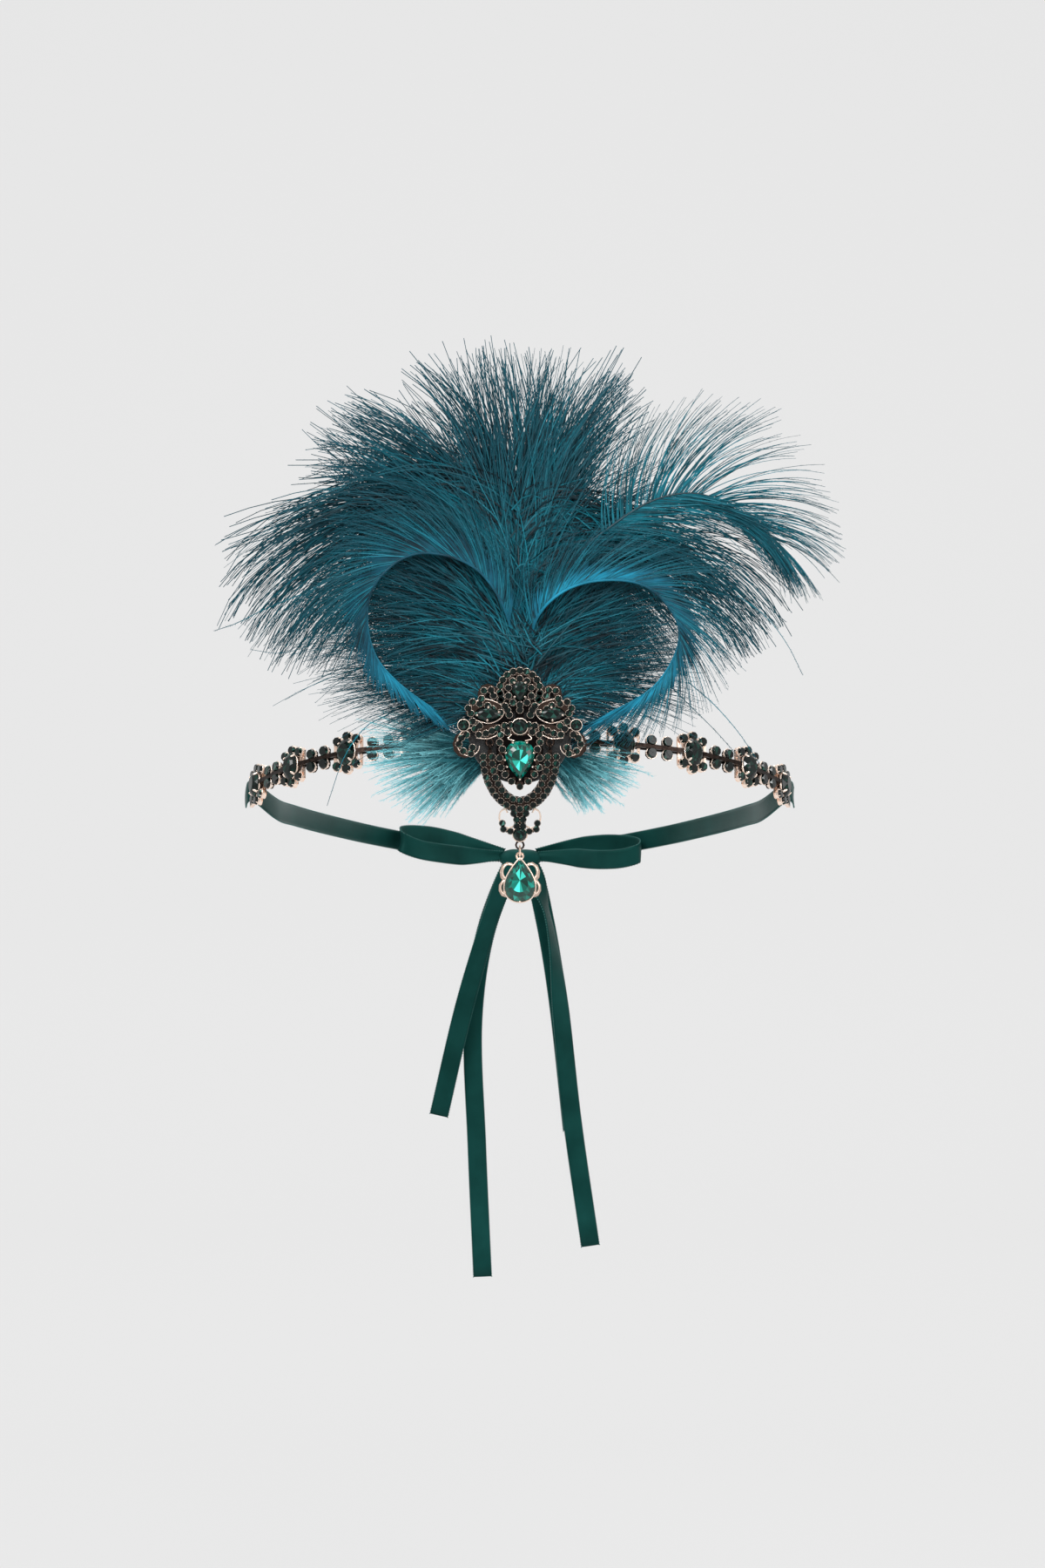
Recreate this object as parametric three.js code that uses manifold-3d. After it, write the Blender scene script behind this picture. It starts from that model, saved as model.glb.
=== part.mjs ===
// A flapper headband: a band of set-stone links, a plume and a brooch at the forehead, ribbons tied behind.
// Millimetres, X right, Y back, Z up. The origin is the middle of the opening for the head.
import * as THREE from "three";
import { mergeVertices } from "three/addons/utils/BufferGeometryUtils.js";
import Module from "manifold-3d";

const wasm = await Module();
wasm.setup();

// Driving dimensions
const gap = 0.3;
// How far soldered pieces run into one another
const bite = 0.15;

// Band
const openingFront = 95;
const bandLift = 19.8;
const bandTilt = THREE.MathUtils.degToRad(16.2);
const foreheadRadius = 118;
const foreheadTurn = THREE.MathUtils.degToRad(14);
const templeRadius = 68;
const flowersPerSide = 4;
const flowerPitch = 21;
const firstFlower = 28.8;
const pinReach = 4.4;
const pinWidth = 0.7;
const stapleWire = 0.65;
const stapleHeight = 1.2;
const linkPlate = 1;
const smallStoneRadius = 1.45;
const smallStoneRise = 1.0;
const flowerStoneWidth = 6;
const flowerStoneHeight = 7.6;
const flowerStoneDepth = 2;
const flowerRise = 4.7;
const flowerSide = 3.2;
const flowerSideRise = 3.6;
const columnSpread = 2.45;
const columnRise = 1.85;
const bridgeHeight = 4.4;
const bridgeRail = 0.9;
const endBar = 1.1;
const slotStart = 1.9;

// Ribbon
const ribbonWidth = 6;
const ribbonThickness = 0.9;
const openingBack = 95;
const knotDrop = 16.4;
const knotWidth = 10;
const knotDepth = 5.6;
const knotHeight = 7.2;
const loopReach = 42;
const loopDepth = 9;
const tailLength = 134;

// Pad, quills and plume
const padRadius = 14.5;
const padThickness = 1.6;
const padHeight = 22.3;
const quillThickness = 1;
const quillWidth = 1.2;
const plumeThickness = 2.4;
const plumeRadius = 8;
const plumeHeight = 25.8;
const plumeLength = 101;
const plumeSpread = THREE.MathUtils.degToRad(69);
const plumeLean = 22;
const lockWidth = 10;
const lockThickness = 2.6;
const curlHeight = 50;
const curlWidth = 43;
const curlVane = 11;
const curlBulge = 7;
const marabouLength = 34;
const marabouRadius = 4;
const marabouThickness = 2.6;

// Brooch
const broochHeight = 23.7;
const broochHalf = 17.9;
const broochPlate = 1.2;
const rowWidth = 2.1;
const paveRadius = 0.78;
const paveRise = 0.9;
const eyeHole = 0.75;
const wireRadius = 0.3;
const bossHalf = 0.7;
const centerPearWidth = 8.1;
const centerPearLength = 10.7;
const seatShare = 0.85;

// Swag and drop
const swagHalf = 10;
const swagDepth = 14.3;
const swagRowGap = 2.4;
const swagStoneRadius = 0.9;
const swagStonePitch = 1.9;
const swagStoneRise = 0.9;
const swagPlate = 1;
const ornamentDrop = 6.9;
const roundStoneRadius = 1.9;
const dropWidth = 8.1;
const dropLength = 11.5;
const gemDepth = 3;

// Levels in front of the head, each worked out from what lies behind it
const pinDepth = stapleWire + gap + pinWidth / 2;
const bandAxis = openingFront + pinDepth;
const bridgeFace = bandAxis + (pinWidth / 2) * Math.cos(bandTilt) + (bridgeHeight / 2) * Math.sin(bandTilt);
const plumeBack = bridgeFace + gap;
const plumeFront = plumeBack + plumeThickness;
const quillBack = plumeFront + gap;
const quillFront = quillBack + quillThickness;
const padBack = quillFront + gap;
const padFront = padBack + padThickness;
const broochBack = padFront + gap;
const broochFront = broochBack + broochPlate;
const loopRadius = 2 * wireRadius + gap;
const hingeFront = padFront + gap + loopRadius + wireRadius + 0.1;
const eyeRadius = eyeHole + wireRadius;
const eyeSide = 0.46 * broochHalf;
const eyeHeight = broochHeight - 0.24 * broochHalf;
const hingeHeight = eyeHeight - eyeRadius;

const gold = new THREE.MeshStandardMaterial({ color: 0xc9906a, metalness: 1, roughness: 0.3 });
const darkStone = new THREE.MeshStandardMaterial({ color: 0x0c1f1c, metalness: 0.1, roughness: 0.1 });
const emerald = new THREE.MeshStandardMaterial({ color: 0x0c7d63, metalness: 0.1, roughness: 0.08 });
const ostrich = new THREE.MeshStandardMaterial({ color: 0x0f4a57, metalness: 0, roughness: 0.9 });
const goose = new THREE.MeshStandardMaterial({ color: 0x1b86a8, metalness: 0, roughness: 0.6 });
const marabou = new THREE.MeshStandardMaterial({ color: 0x3f9aa3, metalness: 0, roughness: 0.9 });
const satin = new THREE.MeshStandardMaterial({ color: 0x12423f, metalness: 0, roughness: 0.45 });
const felt = new THREE.MeshStandardMaterial({ color: 0x0a0c0c, metalness: 0, roughness: 1 });

const vec = (x, y, z) => new THREE.Vector3(x, y, z);

// A closed skin through rings of equally many points, flat or pointed at its far end.
function skin(rings, tip) {
  const sides = rings[0].length;
  const points = rings.flat();
  const faces = [];
  for (let ring = 0; ring < rings.length - 1; ring += 1) {
    for (let side = 0; side < sides; side += 1) {
      const a = ring * sides + side;
      const b = ring * sides + ((side + 1) % sides);
      faces.push([a, b, b + sides], [a, b + sides, a + sides]);
    }
  }
  const last = (rings.length - 1) * sides;
  for (let side = 1; side < sides - 1; side += 1) {
    faces.push([0, side + 1, side]);
    if (!tip) faces.push([last, last + side, last + side + 1]);
  }
  if (tip) {
    points.push(tip);
    for (let side = 0; side < sides; side += 1) {
      faces.push([last + side, last + ((side + 1) % sides), points.length - 1]);
    }
  }
  let volume = 0;
  for (const [a, b, c] of faces) volume += points[a].dot(points[b].clone().cross(points[c]));
  if (volume < 0) faces.forEach((face) => face.reverse());
  const geometry = new THREE.BufferGeometry().setFromPoints(points);
  geometry.setIndex(faces.flat());
  return geometry;
}

// A ring that closes on itself, for wires and rims without ends.
function hoop(rings) {
  const sides = rings[0].length;
  const points = rings.flat();
  const faces = [];
  for (let ring = 0; ring < rings.length; ring += 1) {
    const next = (ring + 1) % rings.length;
    for (let side = 0; side < sides; side += 1) {
      const far = (side + 1) % sides;
      const a = ring * sides + side;
      const b = ring * sides + far;
      const c = next * sides + far;
      faces.push([a, b, c], [a, c, next * sides + side]);
    }
  }
  let volume = 0;
  for (const [a, b, c] of faces) volume += points[a].dot(points[b].clone().cross(points[c]));
  if (volume < 0) faces.forEach((face) => face.reverse());
  const geometry = new THREE.BufferGeometry().setFromPoints(points);
  geometry.setIndex(faces.flat());
  return geometry;
}

function solidOf(geometry) {
  const bare = geometry.clone();
  bare.deleteAttribute("normal");
  bare.deleteAttribute("uv");
  const merged = mergeVertices(bare, 1e-4);
  const vertProperties = new Float32Array(merged.attributes.position.array);
  const triVerts = new Uint32Array(merged.index.array);
  return new wasm.Manifold(new wasm.Mesh({ numProp: 3, vertProperties, triVerts }));
}

// Soldered, glued or sewn pieces become one solid.
function fuse(pieces) {
  const whole = pieces.map(solidOf).reduce((sum, piece) => sum.add(piece));
  const mesh = whole.getMesh();
  const geometry = new THREE.BufferGeometry();
  geometry.setAttribute("position", new THREE.BufferAttribute(mesh.vertProperties, 3));
  geometry.setIndex(new THREE.BufferAttribute(mesh.triVerts, 1));
  return geometry;
}

// A bar between two corners, given as ranges of side, front distance and height.
function bar([left, right], [back, front], [low, high]) {
  const box = new THREE.BoxGeometry(right - left, front - back, high - low);
  return box.translate((left + right) / 2, -(back + front) / 2, (low + high) / 2);
}

// An outline in the XZ plane, turned into a solid between two front distances.
function slab(outline, back, front) {
  return skin([back, front].map((level) => outline.map(([x, z]) => vec(x, -level, z))));
}

function oval(halfWidth, halfHeight, sides) {
  return Array.from({ length: sides }, (_, side) => {
    const angle = ((side + 0.5) / sides) * 2 * Math.PI;
    return [halfWidth * Math.cos(angle), halfHeight * Math.sin(angle)];
  });
}

// A pear outline with its point up, or down when the length is negative.
function pear(width, length, sides) {
  const widest = 0.77;
  return Array.from({ length: sides }, (_, side) => {
    const angle = (side / sides) * 2 * Math.PI;
    const half = (width / 2 / widest) * Math.sin(angle) * Math.sin(angle / 2);
    return [half, (length / 2) * Math.cos(angle)];
  });
}

function navette(length, height, sides) {
  return Array.from({ length: sides }, (_, side) => {
    const angle = (side / sides) * 2 * Math.PI;
    const bow = Math.sin(angle) * Math.abs(Math.sin(angle)) ** 0.5;
    return [(length / 2) * Math.cos(angle), (height / 2) * bow];
  });
}

// A cut stone on its outline: pavilion, girdle, crown facets and a flat table.
function cutStone(outline, back, depth) {
  const cut = [
    { share: 0.5, level: 0 },
    { share: 1, level: 0.45 },
    { share: 0.62, level: 1 },
  ];
  const ringAt = ({ share, level }) => {
    return outline.map(([x, z]) => vec(x * share, -(back + level * depth), z * share));
  };
  return skin(cut.map(ringAt));
}

// A small set stone: eight crown facets and a table on its cup.
function smallStone(x, z, back, radius, rise) {
  const cut = [
    { share: 1, level: 0 },
    { share: 0.64, level: 1 },
  ];
  const ringAt = ({ share, level }) => {
    const outline = oval(radius * share, radius * share, 8);
    return outline.map(([side, up]) => vec(x + side, -(back + level * rise), z + up));
  };
  return skin(cut.map(ringAt));
}

// A round wire ring of five-sided wire.
function ring(radius, wire, plane) {
  const torus = new THREE.TorusGeometry(radius, wire, 5, 10);
  return plane === "front" ? torus.rotateX(Math.PI / 2) : torus.rotateY(Math.PI / 2);
}

// A flat strip along a curve in the XZ plane, as cast rows and scrolls are.
function strip(points, width, back, front) {
  const rings = points.map((point, i) => {
    const before = points[Math.max(i - 1, 0)];
    const after = points[Math.min(i + 1, points.length - 1)];
    const run = vec(after[0] - before[0], 0, after[1] - before[1]).normalize();
    const side = vec(-run.z, 0, run.x).multiplyScalar(width / 2);
    const middle = vec(point[0], 0, point[1]);
    const inner = middle.clone().sub(side);
    const outer = middle.clone().add(side);
    return [inner.clone().setY(-back), outer.clone().setY(-back), outer.setY(-front), inner.setY(-front)];
  });
  return skin(rings);
}

function arcPoints({ x, z, start, end, from, to }, size, steps) {
  return Array.from({ length: steps + 1 }, (_, step) => {
    const share = step / steps;
    const angle = THREE.MathUtils.degToRad(from + (to - from) * share);
    const radius = (start + (end - start) * share) * size;
    return [x * size + radius * Math.cos(angle), z * size + radius * Math.sin(angle)];
  });
}

function mesh(name, geometry, material) {
  const piece = new THREE.Mesh(geometry, material);
  piece.name = name;
  return piece;
}

const headband = new THREE.Group();

// Band: pins of neighbouring links are held by staples, so the links lie on a curve of two arcs
function bandPlace(distance) {
  const turn = Math.min(distance / foreheadRadius, foreheadTurn);
  const temple = Math.max(distance - foreheadRadius * foreheadTurn, 0) / templeRadius;
  const heading = turn + temple;
  const x = foreheadRadius * Math.sin(turn) + templeRadius * (Math.sin(heading) - Math.sin(turn));
  const depth = foreheadRadius * (1 - Math.cos(turn)) + templeRadius * (Math.cos(turn) - Math.cos(heading));
  return { x, depth, heading };
}

function pinPlace(distance, reach) {
  const { x, depth, heading } = bandPlace(distance);
  return [x + reach * Math.cos(heading), depth + reach * Math.sin(heading)];
}

const bandPlane = new THREE.Group();
bandPlane.position.set(0, -bandAxis, bandLift);
bandPlane.rotation.x = -bandTilt;
headband.add(bandPlane);

const plateBack = pinDepth - linkPlate / 2;
const plateFront = pinDepth + linkPlate / 2;
const pinBack = pinDepth - pinWidth / 2;
const pinFront = pinDepth + pinWidth / 2;
const stapleFront = pinFront + gap;
const pastPin = pinWidth / 2 + gap + stapleWire;

// Places a front-facing geometry, whose origin is at the head side, on the pins' line.
const ontoPins = (geometry) => geometry.translate(0, pinDepth, 0);

// A flower's plate is wide where its side stones sit, with a waist that clears the loops round its pins.
function flowerPlate() {
  const waist = pinReach - pastPin - gap;
  const free = stapleHeight / 2 + gap;
  const tip = flowerRise - smallStoneRadius / 3;
  const left = [[0, tip], [-flowerSide, flowerSideRise], [-waist, free]];
  const lower = [...left].reverse().map(([x, z]) => [x, -z]);
  const right = [...left, ...lower].slice(1, -1).reverse().map(([x, z]) => [-x, z]);
  return slab([...left, ...lower, ...right], plateBack, plateFront);
}

function flowerLink() {
  const pieces = [flowerPlate()];
  const stoneHeight = linkPlate + smallStoneRise;
  const half = pinWidth / 2;
  for (const up of [-1, 1]) {
    pieces.push(smallStone(0, up * flowerRise, plateBack, smallStoneRadius, stoneHeight));
    for (const side of [-1, 1]) {
      const z = up * flowerSideRise;
      pieces.push(smallStone(side * flowerSide, z, plateBack, smallStoneRadius, stoneHeight));
    }
  }
  for (const side of [-1, 1]) {
    const x = side * pinReach;
    pieces.push(bar([x - half, x + half], [pinBack, pinFront], [-flowerSideRise, flowerSideRise]));
  }
  return ontoPins(fuse(pieces));
}

function flowerStone() {
  const outline = oval(flowerStoneWidth / 2, flowerStoneHeight / 2, 12);
  return ontoPins(cutStone(outline, plateFront + gap, flowerStoneDepth));
}

// A flat wire bent into a long closed loop, as links are joined by: it lies round the pins with a gap.
function staple(left, right) {
  const half = stapleHeight / 2;
  const corners = [
    { x: left, level: 0, side: 1, up: 1 },
    { x: right, level: 0, side: -1, up: 1 },
    { x: right, level: stapleFront + stapleWire, side: -1, up: -1 },
    { x: left, level: stapleFront + stapleWire, side: 1, up: -1 },
  ];
  return hoop(
    corners.map(({ x, level, side, up }) => {
      const inX = x + side * stapleWire;
      const inLevel = level + up * stapleWire;
      const outer = [vec(x, -level, -half), vec(x, -level, half)];
      return [...outer, vec(inX, -inLevel, half), vec(inX, -inLevel, -half)];
    }),
  );
}

function columnLink(halfSpan) {
  const half = stapleHeight / 2;
  const pieces = [staple(-halfSpan - pastPin, halfSpan + pastPin)];
  for (const side of [-1, 1]) {
    const x = side * columnSpread;
    pieces.push(bar([x - half, x + half], [bite, plateFront], [-columnRise, columnRise]));
    for (const up of [-1, 1]) {
      pieces.push(smallStone(x, up * columnRise, plateBack, smallStoneRadius, linkPlate + smallStoneRise));
    }
  }
  return ontoPins(fuse(pieces));
}

// The end link has a slot that the ribbon is folded through.
const slotHeight = ribbonWidth + 2 * gap;
const slotLength = ribbonThickness + 3 * gap;
const farBar = slotStart + slotLength;

function endLink() {
  const outer = slotHeight / 2 + endBar;
  const last = farBar + endBar;
  const pieces = [
    bar([slotStart - endBar, slotStart], [plateBack, plateFront], [-outer, outer]),
    bar([farBar, last], [plateBack, plateFront], [-outer, outer]),
    bar([slotStart - endBar, last], [plateBack, plateFront], [outer - endBar, outer]),
    bar([slotStart - endBar, last], [plateBack, plateFront], [-outer, -outer + endBar]),
    staple(-pastPin, slotStart - endBar / 2),
  ];
  return ontoPins(fuse(pieces));
}

for (let number = 1; number <= flowersPerSide; number += 1) {
  const distance = firstFlower + (number - 1) * flowerPitch;
  const { x, depth, heading } = bandPlace(distance);
  const near = pinPlace(distance - flowerPitch, pinReach);
  const far = pinPlace(distance, -pinReach);
  const halfSpan = Math.hypot(far[0] - near[0], far[1] - near[1]) / 2;
  const chord = Math.atan2(far[1] - near[1], far[0] - near[0]);
  for (const [side, word] of [[-1, "left"], [1, "right"]]) {
    const link = mesh(`flower_link_${word}_${number}`, flowerLink(), gold);
    const stone = mesh(`flower_stone_${word}_${number}`, flowerStone(), darkStone);
    const flower = new THREE.Group();
    flower.position.set(side * x, depth, 0);
    flower.rotation.z = side * heading;
    flower.add(link, stone);
    const column = mesh(`column_link_${word}_${number}`, columnLink(halfSpan), gold);
    column.position.set((side * (near[0] + far[0])) / 2, (near[1] + far[1]) / 2, 0);
    column.rotation.z = side * chord;
    bandPlane.add(flower, column);
  }
}

const bandEnd = firstFlower + (flowersPerSide - 1) * flowerPitch;
const endPin = pinPlace(bandEnd, pinReach);
const endHeading = bandPlace(bandEnd).heading + (2 * pinReach) / templeRadius;
for (const [side, word] of [[-1, "left"], [1, "right"]]) {
  const holder = new THREE.Group();
  holder.position.set(side * endPin[0], endPin[1], 0);
  holder.rotation.z = side * endHeading;
  const link = mesh(`end_link_${word}`, endLink(), gold);
  if (side < 0) link.rotation.y = Math.PI;
  holder.add(link);
  bandPlane.add(holder);
}

// The bridge between the halves of the band is a plate with two rails that end in pins, and carries the pad.
function bandBridge() {
  const pinDistance = firstFlower - flowerPitch;
  const low = bridgeHeight / 2 - bridgeRail;
  const steps = 8;
  const along = (from, to, back, front, bottom, top) => {
    const rings = Array.from({ length: steps + 1 }, (_, step) => {
      const distance = from + ((to - from) * step) / steps;
      const { x, depth, heading } = bandPlace(Math.abs(distance));
      const turn = Math.sign(distance) * heading;
      const at = (level, z) => {
        const out = level - pinDepth;
        return vec(Math.sign(distance) * x + out * Math.sin(turn), depth - out * Math.cos(turn), z);
      };
      return [at(back, bottom), at(front, bottom), at(front, top), at(back, top)];
    });
    return skin(rings);
  };
  const reach = pinDistance + pinReach;
  const pieces = [
    along(-reach, reach, pinBack, pinFront, low, bridgeHeight / 2),
    along(-reach, reach, pinBack, pinFront, -bridgeHeight / 2, -low),
    along(-pinDistance, pinDistance, pinBack + bite / 2, pinFront - bite / 2, -low - bite, low + bite),
  ];
  for (const side of [-1, 1]) {
    const [x, depth] = pinPlace(pinDistance, pinReach);
    const { heading } = bandPlace(pinDistance);
    const pin = new THREE.BoxGeometry(pinWidth, pinWidth, bridgeHeight);
    pieces.push(pin.rotateZ(side * heading).translate(side * x, depth, 0));
  }
  return fuse(pieces);
}
bandPlane.add(mesh("band_bridge", bandBridge(), gold));
bandPlane.updateMatrixWorld(true);

// Ribbon: a flat strip through points, each with the direction of its width
function ribbon(points, widths) {
  const rings = points.map((point, i) => {
    const before = points[Math.max(i - 1, 0)];
    const after = points[Math.min(i + 1, points.length - 1)];
    const run = after.clone().sub(before).normalize();
    const across = widths[i].clone().addScaledVector(run, -widths[i].dot(run)).normalize();
    const face = run.clone().cross(across).multiplyScalar(ribbonThickness / 2);
    const half = across.multiplyScalar(ribbonWidth / 2);
    return [
      point.clone().sub(half).sub(face),
      point.clone().add(half).sub(face),
      point.clone().add(half).add(face),
      point.clone().sub(half).add(face),
    ];
  });
  return skin(rings);
}

function smooth(points, steps) {
  return new THREE.CatmullRomCurve3(points, false, "centripetal").getPoints(steps);
}

// The route of a strap behind its end link, in shares of the way from there to the knot
const strapRoute = [
  { side: 0.945, back: 0.1, drop: 0.2 },
  { side: 0.9, back: 0.4, drop: 0.33 },
  { side: 0.77, back: 0.68, drop: 0.5 },
  { side: 0.58, back: 0.88, drop: 0.68 },
  { side: 0.26, back: 0.99, drop: 0.9 },
];

const knotFar = knotDepth / 2 - ribbonThickness / 2;
function strapPoints(side) {
  const barMiddle = farBar + endBar / 2;
  const around = ribbonThickness / 2 + gap;
  const inside = plateBack - around;
  const outside = plateFront + around;
  const fold = [
    [barMiddle + 5.5, outside - 0.6],
    [barMiddle, outside],
    [farBar - around + 0.15, outside - 0.35],
    [farBar - around, (inside + outside) / 2],
    [farBar - around + 0.15, inside + 0.35],
    [barMiddle, inside],
  ];
  const folded = fold.map(([x, out]) => {
    const place = vec(x, pinDepth - out, 0).applyAxisAngle(vec(0, 0, 1), endHeading);
    place.add(vec(endPin[0], endPin[1], 0));
    return bandPlane.localToWorld(vec(side * place.x, place.y, place.z));
  });
  const start = folded[folded.length - 1];
  const knotSide = knotWidth / 2 + gap;
  const end = vec(side * knotSide, openingBack + knotFar, -knotDrop);
  const way = strapRoute.map(({ side: x, back, drop }) =>
    vec(start.x * x, start.y + (end.y - start.y) * back, start.z + (end.z - start.z) * drop),
  );
  const route = smooth([start, ...way, end], 14);
  return { folded, route };
}

for (const [side, word] of [[-1, "left"], [1, "right"]]) {
  const { folded, route } = strapPoints(side);
  const points = [...folded.slice(0, -1), ...route];
  const upright = vec(0, Math.sin(bandTilt), Math.cos(bandTilt));
  const widths = points.map((_, i) => (i < folded.length + 1 ? upright : vec(0, 0, 1)));
  headband.add(mesh(`strap_${word}`, ribbon(points, widths), satin));
}

// Bow: a knot, two loops that lie along the straps and four hanging ends
const knot = new THREE.Group();
knot.position.set(0, openingBack, -knotDrop);
headband.add(knot);
const knotForm = new THREE.SphereGeometry(1, 10, 6);
knotForm.scale(knotWidth / 2, knotDepth / 2, knotHeight / 2);
knot.add(mesh("bow_knot", knotForm, satin));

// A loop's course: shares of its reach and of its depth inside the strap, and its rise in ribbon widths
const loopCourse = [
  { out: 0.0, open: 0.12, left: 0.15, right: 0.12 },
  { out: 0.3, open: 0.55, left: 0.12, right: 0.05 },
  { out: 0.65, open: 0.95, left: 0.3, right: -0.05 },
  { out: 0.9, open: 0.85, left: 0.55, right: 0.05 },
  { out: 1.0, open: 0.5, left: 0.9, right: 0.3 },
  { out: 0.93, open: 0.12, left: 1.25, right: 0.6 },
  { out: 0.65, open: 0.02, left: 1.25, right: 0.8 },
  { out: 0.3, open: 0.0, left: 0.75, right: 0.6 },
  { out: 0.0, open: 0.0, left: 0.3, right: 0.3 },
];
for (const [side, word] of [[-1, "left"], [1, "right"]]) {
  const { route } = strapPoints(side);
  const along = new THREE.CatmullRomCurve3([...route].reverse());
  const length = along.getLength();
  const inward = ribbonThickness + 2 * gap;
  const course = loopCourse.map(({ out, open, ...rise }) => {
    const place = along.getPointAt((out * loopReach) / length);
    const run = along.getTangentAt((out * loopReach) / length);
    const inner = vec(-run.y, run.x, 0).normalize();
    if (inner.y > 0) inner.negate();
    const lifted = vec(place.x, place.y, -knotDrop + rise[word] * ribbonWidth);
    return lifted.addScaledVector(inner, inward + open * loopDepth);
  });
  const points = smooth(course, 20);
  const upright = points.map(() => vec(0, 0, 1));
  headband.add(mesh(`bow_loop_${word}`, ribbon(points, upright), satin));
}

// The hanging ends: their levels in front of the knot, and rows down each in shares of the tail length,
// with the turn of its width in degrees
const tails = [
  {
    front: 2.6,
    rows: [
      { down: 0.0, side: -0.028, turn: 10 },
      { down: 0.1, side: -0.068, turn: 25 },
      { down: 0.2, side: -0.1, turn: 20 },
      { down: 0.35, side: -0.142, turn: 5 },
      { down: 0.6, side: -0.2, turn: 0 },
    ],
  },
  {
    front: -1.8,
    rows: [
      { down: 0.0, side: -0.028, turn: 0 },
      { down: 0.15, side: -0.085, turn: 0 },
      { down: 0.36, side: -0.116, turn: 0 },
      { down: 0.68, side: -0.107, turn: 5 },
      { down: 1, side: -0.093, turn: 0 },
    ],
  },
  {
    front: 2.6,
    rows: [
      { down: 0.0, side: 0.03, turn: 0 },
      { down: 0.1, side: 0.064, turn: 72 },
      { down: 0.2, side: 0.083, turn: 60 },
      { down: 0.35, side: 0.1, turn: 25 },
      { down: 0.6, side: 0.126, turn: 5 },
      { down: 0.92, side: 0.172, turn: 0 },
    ],
  },
  {
    front: -2.6,
    rows: [
      { down: 0.0, side: 0.03, turn: 0 },
      { down: 0.12, side: 0.06, turn: 10 },
      { down: 0.3, side: 0.09, turn: 5 },
      { down: 0.64, side: 0.128, turn: 0 },
    ],
  },
];
const tailSteps = 10;
tails.forEach(({ front, rows }, index) => {
  const top = -knotHeight / 2 - 2 * gap;
  const course = rows.map(({ down, side }) => {
    const level = front * (0.5 + 0.5 * Math.min(down * 10, 1));
    return vec(side * tailLength, -level, top - down * tailLength);
  });
  const points = smooth(course, tailSteps);
  const turnRows = rows.map(({ turn, down }) => vec(turn, down, 0));
  const turns = new THREE.CatmullRomCurve3(turnRows, false, "centripetal");
  const widths = points.map((_, i) => {
    const turn = THREE.MathUtils.degToRad(turns.getPoint(i / tailSteps).x);
    return vec(Math.cos(turn), Math.sin(turn), 0);
  });
  knot.add(mesh(`ribbon_tail_${index + 1}`, ribbon(points, widths), satin));
});

// Pad
const pad = mesh("felt_pad", new THREE.CylinderGeometry(padRadius, padRadius, padThickness, 24), felt);
pad.position.set(0, -(padBack + padFront) / 2, padHeight);
headband.add(pad);

// A lock of barbs: a thin curved blade, widest past its middle, from a start heading to an end heading.
// Headings are measured from straight up towards the right.
function lock({ x, z, heading, bend, length, width, level, lean, steps }) {
  const rings = [];
  let place = vec(x, 0, z);
  const stride = length / steps;
  for (let step = 0; step <= steps; step += 1) {
    const share = step / steps;
    const angle = heading + bend * share ** 1.4;
    const y = -level + lean * share ** 1.6;
    const half = (width / 2) * (0.22 + 0.78 * Math.sin(Math.PI * Math.min(share * 0.8, 0.8)) ** 1.2);
    const thick = (lockThickness / 2) * (0.3 + 0.7 * Math.sin(Math.PI * share * 0.9));
    if (step === steps) return skin(rings, place.clone().setY(y));
    const side = vec(Math.cos(angle), 0, -Math.sin(angle)).multiplyScalar(half);
    const middle = place.clone().setY(y);
    rings.push([
      middle.clone().sub(side),
      middle.clone().add(vec(0, -thick, 0)),
      middle.clone().add(side),
      middle.clone().add(vec(0, thick, 0)),
    ]);
    place = place.clone().add(vec(Math.sin(angle), 0, Math.cos(angle)).multiplyScalar(stride));
  }
  return null;
}

// Plume layers, front to back: locks, share of the spread, share of the length, droop and share of the lean
const plumeLayers = [
  { locks: 9, spread: 1.2, length: 0.52, droop: 0.5, depth: 0.2, lean: 0.1, width: 0.8 },
  { locks: 12, spread: 1, length: 1, droop: 0.78, depth: 0.5, lean: 0.45, width: 1 },
  { locks: 11, spread: 0.93, length: 0.97, droop: 0.78, depth: 0.8, lean: 1, width: 1 },
];

function plume() {
  const head = new THREE.CylinderGeometry(plumeRadius, plumeRadius, plumeThickness, 12);
  const pieces = [head.translate(0, -(plumeBack + plumeFront) / 2, plumeHeight)];
  for (const { locks, spread, length, droop, depth, lean, width } of plumeLayers) {
    for (let number = 0; number < locks; number += 1) {
      const share = (2 * number) / (locks - 1) - 1;
      const heading = share * plumeSpread * spread;
      const level = plumeFront - depth * plumeThickness;
      pieces.push(
        lock({
          x: share * 0.55 * plumeRadius,
          z: plumeHeight + 0.42 * plumeRadius,
          heading,
          bend: heading * droop,
          length: plumeLength * length * (1 - 0.16 * share * share),
          width: lockWidth * width,
          level,
          lean: plumeLean * lean,
          steps: 4,
        }),
      );
    }
  }
  return fuse(pieces);
}
headband.add(mesh("plume", plume(), ostrich));

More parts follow.
